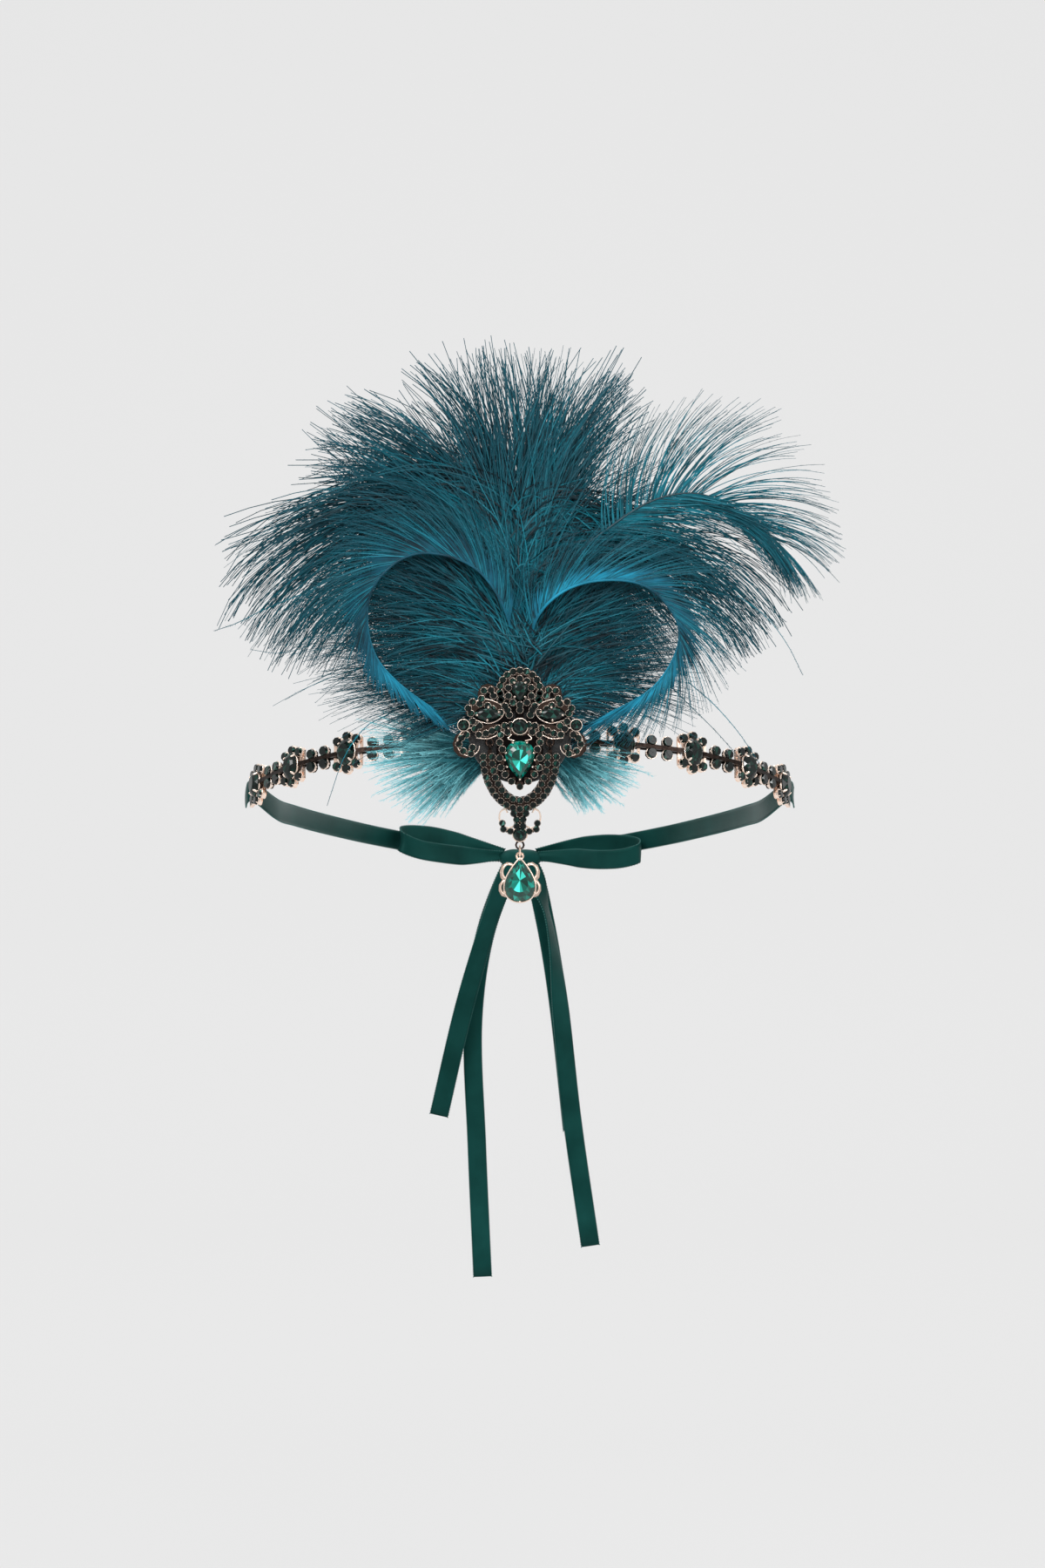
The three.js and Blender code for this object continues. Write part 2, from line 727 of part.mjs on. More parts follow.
// Curled feathers: the quill's course in shares of the curl's width and height, with its vane's share
// of the widest
const curls = {
  left: [
    { side: -0.06, up: 0.08, vane: 0.14 },
    { side: -0.06, up: 0.55, vane: 0.2 },
    { side: -0.29, up: 0.87, vane: 0.9 },
    { side: -0.68, up: 0.94, vane: 1 },
    { side: -0.94, up: 0.74, vane: 1 },
    { side: -0.92, up: 0.4, vane: 0.9 },
    { side: -0.6, up: 0.13, vane: 0.7 },
    { side: -0.22, up: -0.02, vane: 0.2 },
  ],
  right: [
    { side: 0.1, up: 0.1, vane: 0.14 },
    { side: 0.1, up: 0.58, vane: 0.22 },
    { side: 0.35, up: 0.77, vane: 0.8 },
    { side: 0.79, up: 0.77, vane: 0.9 },
    { side: 1.01, up: 0.53, vane: 0.9 },
    { side: 0.87, up: 0.24, vane: 0.9 },
    { side: 0.42, up: 0.02, vane: 0.8 },
    { side: 0.23, up: -0.06, vane: 0.2 },
  ],
};
const curlFoot = padHeight + 1.2;
function curledFeather(rows, side) {
  const steps = 22;
  const course = rows.map((row) => vec(row.side * curlWidth, row.vane, curlFoot + row.up * curlHeight));
  const curve = new THREE.CatmullRomCurve3(course, false, "centripetal");
  const rings = Array.from({ length: steps + 1 }, (_, step) => {
    const share = step / steps;
    const place = curve.getPoint(share);
    const run = curve.getTangent(share).setY(0).normalize();
    const outward = vec(run.z, 0, -run.x).multiplyScalar(-side);
    const notch = step % 2 === 0 ? 1 : 0.72;
    const reach = Math.max(place.y * curlVane * notch, 0.8);
    const clear = Math.hypot(place.x, place.z - padHeight) - broochHalf - 2.5;
    const bulge = curlBulge * THREE.MathUtils.smoothstep(clear, 0, broochHalf);
    const quill = vec(place.x, -(quillBack + bulge), place.z);
    const inner = quill.clone().addScaledVector(outward, -quillWidth / 2);
    const edge = quill.clone().addScaledVector(outward, reach);
    const thin = vec(0, -quillThickness / 2, 0);
    return [inner, edge, edge.clone().add(thin), inner.clone().addScaledVector(thin, 2)];
  });
  return skin(rings);
}
headband.add(mesh("curled_feather_left", curledFeather(curls.left, -1), goose));
headband.add(mesh("curled_feather_right", curledFeather(curls.right, 1), goose));

// Marabou tufts: headings in degrees from straight up, length as a share
const tufts = {
  left: { first: 80, last: 148, locks: 8, length: 1, x: -9, z: -6.8 },
  right: { first: 98, last: 148, locks: 6, length: 0.76, x: 9, z: -7.5 },
};
function marabouTuft({ first, last, locks, length, x, z }) {
  const side = Math.sign(x);
  const middle = (plumeBack + padBack) / 2;
  const foot = padHeight + z;
  const head = new THREE.CylinderGeometry(marabouRadius, marabouRadius, marabouThickness, 10);
  const pieces = [head.translate(x, -middle, foot)];
  for (let number = 0; number < locks; number += 1) {
    const share = number / (locks - 1);
    const heading = THREE.MathUtils.degToRad(first + (last - first) * share) * side;
    pieces.push(
      lock({
        x,
        z: foot,
        heading,
        bend: 0.12 * side,
        length: marabouLength * length * (1 - 0.14 * (number % 2)),
        width: 0.55 * lockWidth,
        level: middle + (number % 2 === 0 ? 0.5 : -0.5),
        lean: 0,
        steps: 3,
      }),
    );
  }
  return fuse(pieces);
}
headband.add(mesh("marabou_left", marabouTuft(tufts.left), marabou));
headband.add(mesh("marabou_right", marabouTuft(tufts.right), marabou));

// Brooch: places and radii are shares of its half width, measured from the middle round stone
const brooch = new THREE.Group();
brooch.position.set(0, 0, broochHeight);
headband.add(brooch);

const arcs = [
  { x: 0, z: 0.547, start: 0.3, end: 0.3, from: -25, to: 205, steps: 10, once: true },
  { x: -0.49, z: 0.5, start: 0.095, end: 0.095, from: -30, to: 215, steps: 8 },
  { x: -0.52, z: 0.1, start: 0.27, end: 0.25, from: 165, to: 38, steps: 7 },
  { x: -0.81, z: -0.3, start: 0.2, end: 0.09, from: 75, to: 350, steps: 9 },
  { x: -0.35, z: -0.85, start: 0.83, end: 0.83, from: 66, to: 108, steps: 4 },
];

// Plain cast wires that tie the set rows together, from the middle outwards
const broochWires = [
  [
    { x: 0.1, z: 0.02 },
    { x: 0.35, z: 0.14 },
    { x: 0.62, z: 0.12 },
    { x: 0.84, z: 0.02 },
  ],
  [
    { x: 0.02, z: 0.3 },
    { x: 0.25, z: 0.28 },
    { x: 0.5, z: 0.2 },
  ],
];

function broochMetal() {
  const size = broochHalf;
  const pieces = [];
  for (const arc of arcs) {
    for (const side of arc.once ? [1] : [1, -1]) {
      const place = ([x, z]) => [side * x, z];
      const course = arcPoints(arc, size, arc.steps).map(place);
      pieces.push(strip(course, rowWidth, broochBack, broochFront + paveRise / 2));
    }
  }
  // Halo round the large pear, its row of stones and the plates under the other main stones
  const pearZ = -0.52 * size;
  const rowIn = 2 * gap + rowWidth;
  const halo = pear(centerPearWidth + rowIn + rowWidth, -(centerPearLength + rowIn + rowWidth), 16);
  const inner = pear(centerPearWidth * seatShare, -centerPearLength * seatShare, 16);
  const shift = ([x, z]) => [x, z + pearZ];
  const rims = [halo, inner].map((outline) => outline.map(shift));
  pieces.push(
    hoop(
      rims[0].map((far, i) => {
        const near = rims[1][i];
        return [
          vec(near[0], -broochBack, near[1]),
          vec(far[0], -broochBack, far[1]),
          vec(far[0], -broochFront, far[1]),
          vec(near[0], -broochFront, near[1]),
        ];
      }),
    ),
  );
  const row = pear(centerPearWidth + rowIn, -(centerPearLength + rowIn), 17).map(shift);
  row.filter(([, z]) => z < pearZ + 0.36 * centerPearLength).forEach(([x, z]) => {
    pieces.push(smallStone(x, z, broochBack + 0.2, paveRadius, broochPlate + paveRise));
  });
  pieces.push(slab(oval(0.15 * size, 0.15 * size, 10), broochBack, broochFront));
  const cap = oval(0.2 * size, 0.2 * size, 10).map(([x, z]) => [x, z + 0.535 * size]);
  pieces.push(slab(cap, broochBack, broochFront));
  const spine = [-0.06 * size, 0.06 * size];
  pieces.push(bar(spine, [broochBack + bite, broochFront - bite], [-0.2 * size, 0.84 * size]));
  for (const side of [-1, 1]) {
    const at = (x, z) => ([dx, dz]) => [dx + side * x * size, dz + z * size];
    pieces.push(slab(navette(0.4 * size, 0.2 * size, 12).map(at(0.49, 0.19)), broochBack, broochFront));
    pieces.push(slab(oval(0.1 * size, 0.1 * size, 10).map(at(0.86, 0.02)), broochBack, broochFront));
    for (const row of broochWires) {
      const course = row.map(({ x, z }) => [side * x * size, z * size]);
      pieces.push(strip(course, 0.08 * size, broochBack + bite, broochFront - bite));
    }
    // The eye that a swag loop hangs in, on a short boss under the swoop
    const eye = ring(eyeRadius, wireRadius, "front");
    pieces.push(eye.translate(side * eyeSide, -hingeFront, eyeHeight - broochHeight));
    const top = eyeHeight - broochHeight + eyeRadius;
    const across = [side * eyeSide - bossHalf, side * eyeSide + bossHalf];
    const depth = [broochBack + 2 * bite, hingeFront + 0.8 * wireRadius];
    pieces.push(bar(across, depth, [top - 0.7 * wireRadius, -0.04 * size]));
  }
  return fuse(pieces);
}
brooch.add(mesh("brooch", broochMetal(), gold));

// Main stones of the brooch, seated in front of their plates
const seat = broochFront + paveRise / 2 + gap;
const pearSeat = broochFront - 2 * gap;
const raised = (outline, depth) => cutStone(outline, seat, depth);
function setStone(name, geometry, x, z, material) {
  const stone = mesh(name, geometry, material);
  stone.position.set(x * broochHalf, 0, z * broochHalf);
  brooch.add(stone);
}
const pearCut = cutStone(pear(centerPearWidth, -centerPearLength, 16), pearSeat, gemDepth);
setStone("brooch_pear", pearCut, 0, -0.52, emerald);
setStone("brooch_cap_pear", raised(pear(0.25 * broochHalf, -0.3 * broochHalf, 12), 1.6), 0, 0.535, darkStone);
setStone("brooch_round_center", raised(oval(0.12 * broochHalf, 0.12 * broochHalf, 10), 1.8), 0, 0, darkStone);
for (const [side, word] of [[-1, "left"], [1, "right"]]) {
  const cut = raised(navette(0.4 * broochHalf, 0.21 * broochHalf, 12), 1.6);
  setStone(`brooch_navette_${word}`, cut, side * 0.49, 0.19, darkStone);
  const round = raised(oval(0.085 * broochHalf, 0.085 * broochHalf, 10), 1.4);
  setStone(`brooch_round_${word}`, round, side * 0.86, 0.02, darkStone);
}

// Swag: hangs in the eyes and turns about the line through them; lengths run down from that line
const swagGroup = new THREE.Group();
swagGroup.position.set(0, -hingeFront, hingeHeight);
headband.add(swagGroup);

const swagTop = 2.9;
const swagBack = -(loopRadius + wireRadius - gap / 2);
const swagFace = swagBack + swagPlate;
const swagFoot = swagTop + swagDepth;
function swagRow(half, depth, steps) {
  return Array.from({ length: steps + 1 }, (_, step) => {
    const angle = Math.PI * (step / steps);
    return [-half * Math.cos(angle), -swagTop - depth * Math.sin(angle)];
  });
}

// Stones evenly along a row, by its length
function evenly(points, pitch) {
  const curve = new THREE.CatmullRomCurve3(points.map(([x, z]) => vec(x, 0, z)));
  const count = Math.round(curve.getLength() / pitch);
  return curve.getSpacedPoints(count).map(({ x, z }) => [x, z]);
}

// The ornament's small stones, in shares of the swag's half width and of the ornament's length
const ornament = [
  { side: 0.17, down: 0.18 },
  { side: 0.09, down: 0.42 },
  { side: 0.09, down: 0.68 },
  { side: 0.48, down: 0.56 },
  { side: 0.45, down: 0.8 },
  { side: 0.26, down: 0.88 },
];
const barDrop = swagFoot + ornamentDrop + roundStoneRadius + 2 * eyeRadius;
const outerDepth = swagDepth;
const innerDepth = swagDepth - swagRowGap;

function swag() {
  const pieces = [];
  const middle = swagRow(swagHalf - swagRowGap / 2, (outerDepth + innerDepth) / 2, 12);
  pieces.push(strip(middle, swagRowGap + 2.15 * swagStoneRadius, swagBack, swagFace));
  for (const [half, depth] of [[swagHalf, outerDepth], [swagHalf - swagRowGap, innerDepth]]) {
    for (const [x, z] of evenly(swagRow(half, depth, 40), swagStonePitch)) {
      pieces.push(smallStone(x, z, swagBack + bite, swagStoneRadius, swagPlate + swagStoneRise));
    }
  }
  for (const side of [-1, 1]) {
    const loop = ring(loopRadius, wireRadius, "side");
    pieces.push(loop.translate(side * eyeSide, 0, 0));
    const neck = [side * eyeSide - 2 * wireRadius, side * eyeSide + 2 * wireRadius];
    const root = -loopRadius - wireRadius;
    pieces.push(bar(neck, [swagBack, swagFace], [-swagTop - 4 * bite, root + 0.6 * wireRadius]));
    pieces.push(bar(neck, [swagBack, 0.8 * wireRadius], [root - 2 * wireRadius, root + 0.8 * wireRadius]));
  }
  for (const { side, down } of ornament) {
    for (const hand of [-1, 1]) {
      const x = hand * side * swagHalf;
      const z = -swagFoot - down * ornamentDrop;
      pieces.push(smallStone(x, z, swagBack + bite, 0.9 * swagStoneRadius, swagPlate + swagStoneRise));
    }
  }
  const roundZ = -swagFoot - ornamentDrop;
  const bezel = roundStoneRadius + bite;
  pieces.push(slab(oval(bezel, bezel, 10).map(([x, z]) => [x, z + roundZ]), swagBack, swagFace));
  const stem = [-0.16 * swagHalf, 0.16 * swagHalf];
  pieces.push(bar(stem, [swagBack + bite, swagFace - bite], [roundZ, -swagFoot + 2 * bite]));
  for (const hand of [-1, 1]) {
    const arm = [[0, 1], [0.27, 0.92], [0.45, 0.82], [0.5, 0.55]].map(([x, z]) => [
      hand * x * swagHalf,
      -swagFoot - z * ornamentDrop,
    ]);
    pieces.push(strip(arm, 3 * wireRadius, swagBack + bite, swagFace - bite));
  }
  const eye = ring(eyeRadius, wireRadius, "front");
  pieces.push(eye.translate(0, 0, -barDrop + eyeRadius));
  const shank = [-barDrop + 2 * eyeRadius - bite, roundZ];
  pieces.push(bar([-1.7 * wireRadius, 1.7 * wireRadius], [swagBack + bite, 0.8 * wireRadius], shank));
  return fuse(pieces);
}
swagGroup.add(mesh("swag", swag(), gold));
const roundCut = cutStone(oval(roundStoneRadius, roundStoneRadius, 10), swagFace + gap, 0.6 * gemDepth);
const swagRound = mesh("swag_round", roundCut, darkStone);
swagRound.position.z = -swagFoot - ornamentDrop;
swagGroup.add(swagRound);

// Drop ring: hangs on the bar of the swag's lower eye
const ringRadius = 2 * gap + 2.7 * wireRadius;
const ringReach = 2 * wireRadius + gap;
const dropRingGroup = new THREE.Group();
dropRingGroup.position.z = -barDrop;
swagGroup.add(dropRingGroup);
const dropRing = mesh("drop_ring", ring(ringRadius, wireRadius, "side"), gold);
dropRing.position.z = ringReach - ringRadius;
dropRingGroup.add(dropRing);

// Drop: its loop closes round the lowest wire of the ring
const dropGroup = new THREE.Group();
dropGroup.position.z = ringReach - 2 * ringRadius;
dropRingGroup.add(dropGroup);
const dropMiddle = -(loopRadius - wireRadius * 0.2) - dropLength / 2;
const dropPlate = 1.1;
const dropFace = 0.3;
function dropSetting() {
  const outline = pear(dropWidth + 0.7, dropLength + 0.6, 16).map(([x, z]) => [x, z + dropMiddle]);
  const pieces = [slab(outline, dropFace - dropPlate, dropFace), ring(loopRadius, wireRadius, "front")];
  const scrolls = [
    { x: 0.36, z: 0.16, start: 0.24, end: 0.2, from: 120, to: -60 },
    { x: 0.42, z: -0.2, start: 0.2, end: 0.18, from: 100, to: -90 },
  ];
  for (const scroll of scrolls) {
    for (const side of [-1, 1]) {
      const course = arcPoints(scroll, dropLength, 5).map(([x, z]) => [side * x * 0.78, z + dropMiddle]);
      pieces.push(strip(course, 0.8, dropFace - dropPlate + bite, dropFace - bite));
    }
  }
  return fuse(pieces);
}
dropGroup.add(mesh("drop_setting", dropSetting(), gold));
const dropCut = cutStone(pear(dropWidth, dropLength, 16), dropFace + gap, gemDepth);
const dropPear = mesh("drop_pear", dropCut, emerald);
dropPear.position.z = dropMiddle;
dropGroup.add(dropPear);

export default headband;
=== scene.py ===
import math
import random

import bpy
import numpy as np
from mathutils import Matrix, Vector


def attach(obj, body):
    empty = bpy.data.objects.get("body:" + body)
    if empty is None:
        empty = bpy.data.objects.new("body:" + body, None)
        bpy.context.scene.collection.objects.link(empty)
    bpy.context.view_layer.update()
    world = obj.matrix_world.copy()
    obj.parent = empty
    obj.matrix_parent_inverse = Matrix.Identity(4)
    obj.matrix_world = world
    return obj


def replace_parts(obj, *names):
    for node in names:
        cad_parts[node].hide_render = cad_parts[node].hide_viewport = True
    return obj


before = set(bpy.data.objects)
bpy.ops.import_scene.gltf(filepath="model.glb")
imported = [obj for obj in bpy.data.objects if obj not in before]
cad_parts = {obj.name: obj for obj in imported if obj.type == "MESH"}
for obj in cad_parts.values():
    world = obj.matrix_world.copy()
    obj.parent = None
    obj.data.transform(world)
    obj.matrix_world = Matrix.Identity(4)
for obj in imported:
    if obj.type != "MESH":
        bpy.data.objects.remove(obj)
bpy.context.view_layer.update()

# Studio: a pale sheet that curves up behind the headband, soft light from above and both sides,
# and a camera level with the brooch at about a metre, where the photograph was taken from.
stage_scene = bpy.context.scene
stage_scene.view_settings.view_transform = "Standard"
camera_data = bpy.data.cameras.new("camera")
camera_data.sensor_width = 36
camera_data.lens = 81.5
camera_data.clip_start = 0.01
camera = bpy.data.objects.new("camera", camera_data)
camera.location = (0.00072, -1.075, 0.008)
camera.rotation_euler = (math.pi / 2, 0, 0)
stage_scene.collection.objects.link(camera)
stage_scene.camera = camera


def set_inputs(node, values):
    for socket, value in values.items():
        node.inputs[socket].default_value = value


def plain_material(name, colour, roughness, settings=None):
    material = bpy.data.materials.new(name)
    material.use_nodes = True
    shader = material.node_tree.nodes["Principled BSDF"]
    set_inputs(shader, {"Base Color": (*colour, 1), "Roughness": roughness, **(settings or {})})
    return material, material.node_tree, shader


sweep = [(-2.6, -0.42), (0.8, -0.42), (1.12, -0.4), (1.36, -0.3), (1.48, -0.08), (1.5, 0.2), (1.5, 2.6)]
corners = [(x, y, z) for y, z in sweep for x in (-3, 3)]
floor_mesh = bpy.data.meshes.new("paper")
floor_mesh.from_pydata(corners, [], [(2 * i, 2 * i + 1, 2 * i + 3, 2 * i + 2) for i in range(len(sweep) - 1)])
floor_mesh.polygons.foreach_set("use_smooth", [True] * len(floor_mesh.polygons))
paper, tree, shader = plain_material("paper", (0.25, 0.25, 0.25), 0.9, {
    "Specular IOR Level": 0, "Emission Color": (1, 1, 1, 1), "Emission Strength": 0.558})
floor_mesh.materials.append(paper)
floor = bpy.data.objects.new("paper", floor_mesh)
stage_scene.collection.objects.link(floor)

world = bpy.data.worlds.new("soft_room")
world.use_nodes = True
sky = world.node_tree
direction = sky.nodes.new("ShaderNodeTexCoord")
parts = sky.nodes.new("ShaderNodeSeparateXYZ")
height = sky.nodes.new("ShaderNodeMapRange")
set_inputs(height, {"From Min": -0.5, "From Max": 0.6, "To Min": 0.2, "To Max": 0.75})
sky.links.new(direction.outputs["Generated"], parts.inputs["Vector"])
sky.links.new(parts.outputs["Z"], height.inputs["Value"])
sky.links.new(height.outputs["Result"], sky.nodes["Background"].inputs["Strength"])
set_inputs(sky.nodes["Background"], {"Color": (1, 1, 1, 1)})
stage_scene.world = world
lamp_target = Vector((0, -0.06, 0.03))
lamps = [
    ("key", (-0.75, -0.95, 0.95), 0.6, 10.5),
    ("fill", (0.95, -0.8, 0.35), 0.7, 4.5),
    ("top", (0.1, 0.15, 1.25), 0.8, 5.0),
    ("glint", (0.12, -1.1, 0.6), 0.2, 4.5),
]
for name, place, size, power in lamps:
    lamp_data = bpy.data.lights.new(name, "AREA")
    lamp_data.size = size
    lamp_data.energy = power
    lamp = bpy.data.objects.new(name, lamp_data)
    lamp.location = place
    lamp.rotation_euler = (lamp_target - Vector(place)).to_track_quat("-Z", "Y").to_euler()
    stage_scene.collection.objects.link(lamp)

# Metals: rose gold plate over cast links, slightly uneven from casting. The flower links, end links, ring and
# drop setting keep it clean; the column links, bridge and swag are painted near black as painted shade, and the
# crest's low ground takes painted shade too.


def speckle_group():
    group = bpy.data.node_groups.new("uneven_surface", "ShaderNodeTree")
    for socket, way in (("Scale", "INPUT"), ("Low", "INPUT"), ("High", "INPUT"), ("Value", "OUTPUT")):
        group.interface.new_socket(socket, in_out=way, socket_type="NodeSocketFloat")
    nodes, links = group.nodes, group.links
    entry = nodes.new("NodeGroupInput")
    exit_node = nodes.new("NodeGroupOutput")
    place = nodes.new("ShaderNodeTexCoord")
    noise = nodes.new("ShaderNodeTexNoise")
    spread = nodes.new("ShaderNodeMapRange")
    set_inputs(noise, {"Detail": 4})
    set_inputs(spread, {"From Min": 0.3, "From Max": 0.7})
    links.new(place.outputs["Object"], noise.inputs["Vector"])
    links.new(entry.outputs["Scale"], noise.inputs["Scale"])
    links.new(noise.outputs["Fac"], spread.inputs["Value"])
    links.new(entry.outputs["Low"], spread.inputs["To Min"])
    links.new(entry.outputs["High"], spread.inputs["To Max"])
    links.new(spread.outputs["Result"], exit_node.inputs["Value"])
    return group


uneven = speckle_group()


def uneven_value(tree, scale, low=0, high=1):
    node = tree.nodes.new("ShaderNodeGroup")
    node.node_tree = uneven
    set_inputs(node, {"Scale": scale, "Low": low, "High": high})
    return node.outputs["Value"]


def colour_mix(tree, factor, low, high):
    mix = tree.nodes.new("ShaderNodeMix")
    mix.data_type = "RGBA"
    set_inputs(mix, {"A": (*low, 1), "B": (*high, 1)})
    tree.links.new(factor, mix.inputs["Factor"])
    return mix


def blend_colours(tree, shader, factor, low, high):
    tree.links.new(colour_mix(tree, factor, low, high).outputs["Result"], shader.inputs["Base Color"])


def bump(tree, shader, height, strength, distance):
    node = tree.nodes.new("ShaderNodeBump")
    set_inputs(node, {"Strength": strength, "Distance": distance})
    tree.links.new(height, node.inputs["Height"])
    tree.links.new(node.outputs["Normal"], shader.inputs["Normal"])


gold, tree, shader = plain_material("rose_gold_plate", (0.78, 0.42, 0.27), 0.2, {"Metallic": 1})
blend_colours(tree, shader, uneven_value(tree, 900), (0.92, 0.64, 0.5), (1.0, 0.82, 0.7))
tree.links.new(uneven_value(tree, 1600, 0.14, 0.3), shader.inputs["Roughness"])
bump(tree, shader, uneven_value(tree, 2400), 0.2, 0.00005)

# Cups, rims and prongs take a lighter, less metallic copy of the gold, a painted highlight so their small curves read
# bright from every side
painted_highlight_gold, tree, shader = plain_material("painted_highlight_gold", (0.96, 0.72, 0.58), 0.26, {"Metallic": 0.72})
blend_colours(tree, shader, uneven_value(tree, 1400), (0.96, 0.72, 0.58), (1.0, 0.88, 0.78))

# Painted shade: the crest's ground is darkest where it lies lowest, between its rows and further back, where shade
# falls
crest_painted_shade_gold, tree, shader = plain_material("crest_painted_shade_gold", (0.86, 0.56, 0.43), 0.25, {"Metallic": 1})
place = tree.nodes.new("ShaderNodeTexCoord")
parts = tree.nodes.new("ShaderNodeSeparateXYZ")
tree.links.new(place.outputs["Object"], parts.inputs["Vector"])
level = tree.nodes.new("ShaderNodeMapRange")
set_inputs(level, {"From Min": -0.10505, "From Max": -0.1047})
tree.links.new(parts.outputs["Y"], level.inputs["Value"])
blend_colours(tree, shader, level.outputs["Result"], (0.075, 0.05, 0.04), (0.01, 0.008, 0.008))

# Painted shade: near-black gold on the column links, bridge and swag, standing in for their metal in shade
painted_shade_gold, tree, shader = plain_material("painted_shade_gold", (0.3, 0.18, 0.13), 0.4, {"Metallic": 1})
blend_colours(tree, shader, uneven_value(tree, 1200), (0.013, 0.01, 0.009), (0.05, 0.034, 0.028))
sides = ("left", "right")
numbered = [f"{side}_{number}" for side in sides for number in (1, 2, 3, 4)]
metals = [
    (gold, [f"flower_link_{place}" for place in numbered] + [f"end_link_{side}" for side in sides]),
    (gold, ["drop_ring", "drop_setting"]),
    (painted_shade_gold, [f"column_link_{place}" for place in numbered] + ["band_bridge", "swag"]),
    (crest_painted_shade_gold, ["brooch"]),
]
for metal, node_names in metals:
    for node_name in node_names:
        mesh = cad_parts[node_name].data
        mesh.materials.clear()
        mesh.materials.append(metal)

# Small cut stones of the band: near-black green glass, eight-sided with a table, each in a round gold cup
# with four prongs. Made once with the pieces of its cup and copied to every seat.
MM = 0.001


def take(obj):
    verts = np.array([(obj.matrix_basis @ vertex.co)[:] for vertex in obj.data.vertices])
    faces = [tuple(face.vertices) for face in obj.data.polygons]
    bpy.data.objects.remove(obj, do_unlink=True)
    return verts, faces


def new_round(kind, **sizes):
    bpy.ops.object.select_all(action="DESELECT")
    getattr(bpy.ops.mesh, f"primitive_{kind}_add")(**sizes)
    return bpy.context.object


def round_cut(count):
    """A cut stone of radius 1: its table is turned half a facet, and a short back is drawn out below."""
    girdle_height = 0.25
    stone = new_round("cone", vertices=count, radius1=1, radius2=0.8, depth=2 * girdle_height,
                      location=(0, 0, girdle_height))
    bpy.ops.object.mode_set(mode="EDIT")
    bpy.ops.mesh.select_all(action="DESELECT")
    bpy.ops.object.mode_set(mode="OBJECT")
    for face in stone.data.polygons:
        face.select = face.center.z > 0.2
    bpy.ops.object.mode_set(mode="EDIT")
    bpy.ops.transform.rotate(value=math.pi / count, orient_axis="Z", center_override=(0, 0, girdle_height))
    bpy.ops.object.mode_set(mode="OBJECT")
    for face in stone.data.polygons:
        face.select = face.center.z < -0.2
    bpy.ops.object.mode_set(mode="EDIT")
    bpy.ops.mesh.extrude_region_move(TRANSFORM_OT_translate={"value": (0, 0, -0.35)})
    bpy.ops.transform.resize(value=(0.8, 0.8, 1), center_override=(0, 0, 0))
    bpy.ops.mesh.select_all(action="SELECT")
    bpy.ops.mesh.quads_convert_to_tris()
    bpy.ops.mesh.normals_make_consistent(inside=False)
    bpy.ops.object.mode_set(mode="OBJECT")
    return take(stone)


def build(name, batches, material, body, smooth=False, tones=None):
    """Joins batches of (verts in mm, faces) into one piece."""
    verts, faces, count = [], [], 0
    for batch_verts, batch_faces in batches:
        verts.append(batch_verts)
        faces += [tuple(count + corner for corner in face) for face in batch_faces]
        count += len(batch_verts)
    mesh = bpy.data.meshes.new(name)
    mesh.from_pydata((np.vstack(verts) * MM).tolist(), [], faces)
    mesh.materials.append(material)
    if smooth:
        mesh.polygons.foreach_set("use_smooth", [True] * len(mesh.polygons))
    if tones is not None:
        mesh.attributes.new("tone", "FLOAT", "FACE").data.foreach_set("value", tones)
    obj = bpy.data.objects.new(name, mesh)
    stage_scene.collection.objects.link(obj)
    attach(obj, body)
    return obj


def copies(unit, places):
    verts, faces = unit
    spots = np.array([np.array(place) for place in places])
    four = np.hstack([verts, np.ones((len(verts), 1))])
    moved = np.einsum("pij,vj->pvi", spots, four)[:, :, :3]
    all_faces = [tuple(n * len(verts) + corner for corner in face) for n in range(len(places)) for face in faces]
    return moved.reshape(-1, 3), all_faces


def sized(place, x, y, z):
    return place @ Matrix.Diagonal((x, y, z, 1))


def offset(x=0, y=0, z=0):
    return Matrix.Translation((x, y, z))


def turned(degrees, axis):
    return Matrix.Rotation(math.radians(degrees), 4, axis)


def raised(places, level, width, height):
    return [sized(place @ offset(z=level), width, width, height) for place in places]


def reader(tree, name):
    layer = tree.nodes.new("ShaderNodeAttribute")
    layer.attribute_name = name
    return layer.outputs["Fac"]


def facet_material(name, stops, roughness, gloss):
    """Glass whose facets take their colour from a tone, painted reflections and glints on the flat facets; stops are
    (tone, colour).
    """
    material, tree, shader = plain_material(name, stops[0][1], roughness, {
        "Specular IOR Level": gloss, "Coat Weight": 0.6 * gloss, "Coat Roughness": 0.04})
    tone = reader(tree, "tone")
    ramp = tree.nodes.new("ShaderNodeValToRGB")
    while len(ramp.color_ramp.elements) < len(stops):
        ramp.color_ramp.elements.new(0.5)
    for element, (position, colour) in zip(ramp.color_ramp.elements, stops):
        element.position = position
        element.color = (*colour, 1)
    tree.links.new(tone, ramp.inputs["Fac"])
    tree.links.new(ramp.outputs["Color"], shader.inputs["Base Color"])
    return material


# Facet tones are painted reflections: the top of the ramp is a painted glint
dark_painted_glint_stops = [(0.0, (0.0005, 0.002, 0.002)), (0.6, (0.001, 0.008, 0.006)), (0.9, (0.003, 0.04, 0.028)),
              (1.0, (0.06, 0.17, 0.14))]
dark_glass = facet_material("dark_green_glass", dark_painted_glint_stops, 0.1, 0.3)
gem = round_cut(8)
cup = take(new_round("cylinder", vertices=12, radius=1, depth=1, location=(0, 0, -0.5)))
rim, thin_rim = (take(new_round("torus", major_radius=1, minor_radius=thickness, major_segments=14, minor_segments=6))
                 for thickness in (0.11, 0.075))
prong = take(new_round("uv_sphere", segments=6, ring_count=5, radius=1))
dice = random.Random(7)


def small_stones(name, places, body):
    # Random facet tones: painted reflections and glints
    tones = [dice.random() ** 2.2 for _ in range(len(places) * len(gem[1]))]
    build(name, [copies(gem, places)], dark_glass, body, tones=tones)


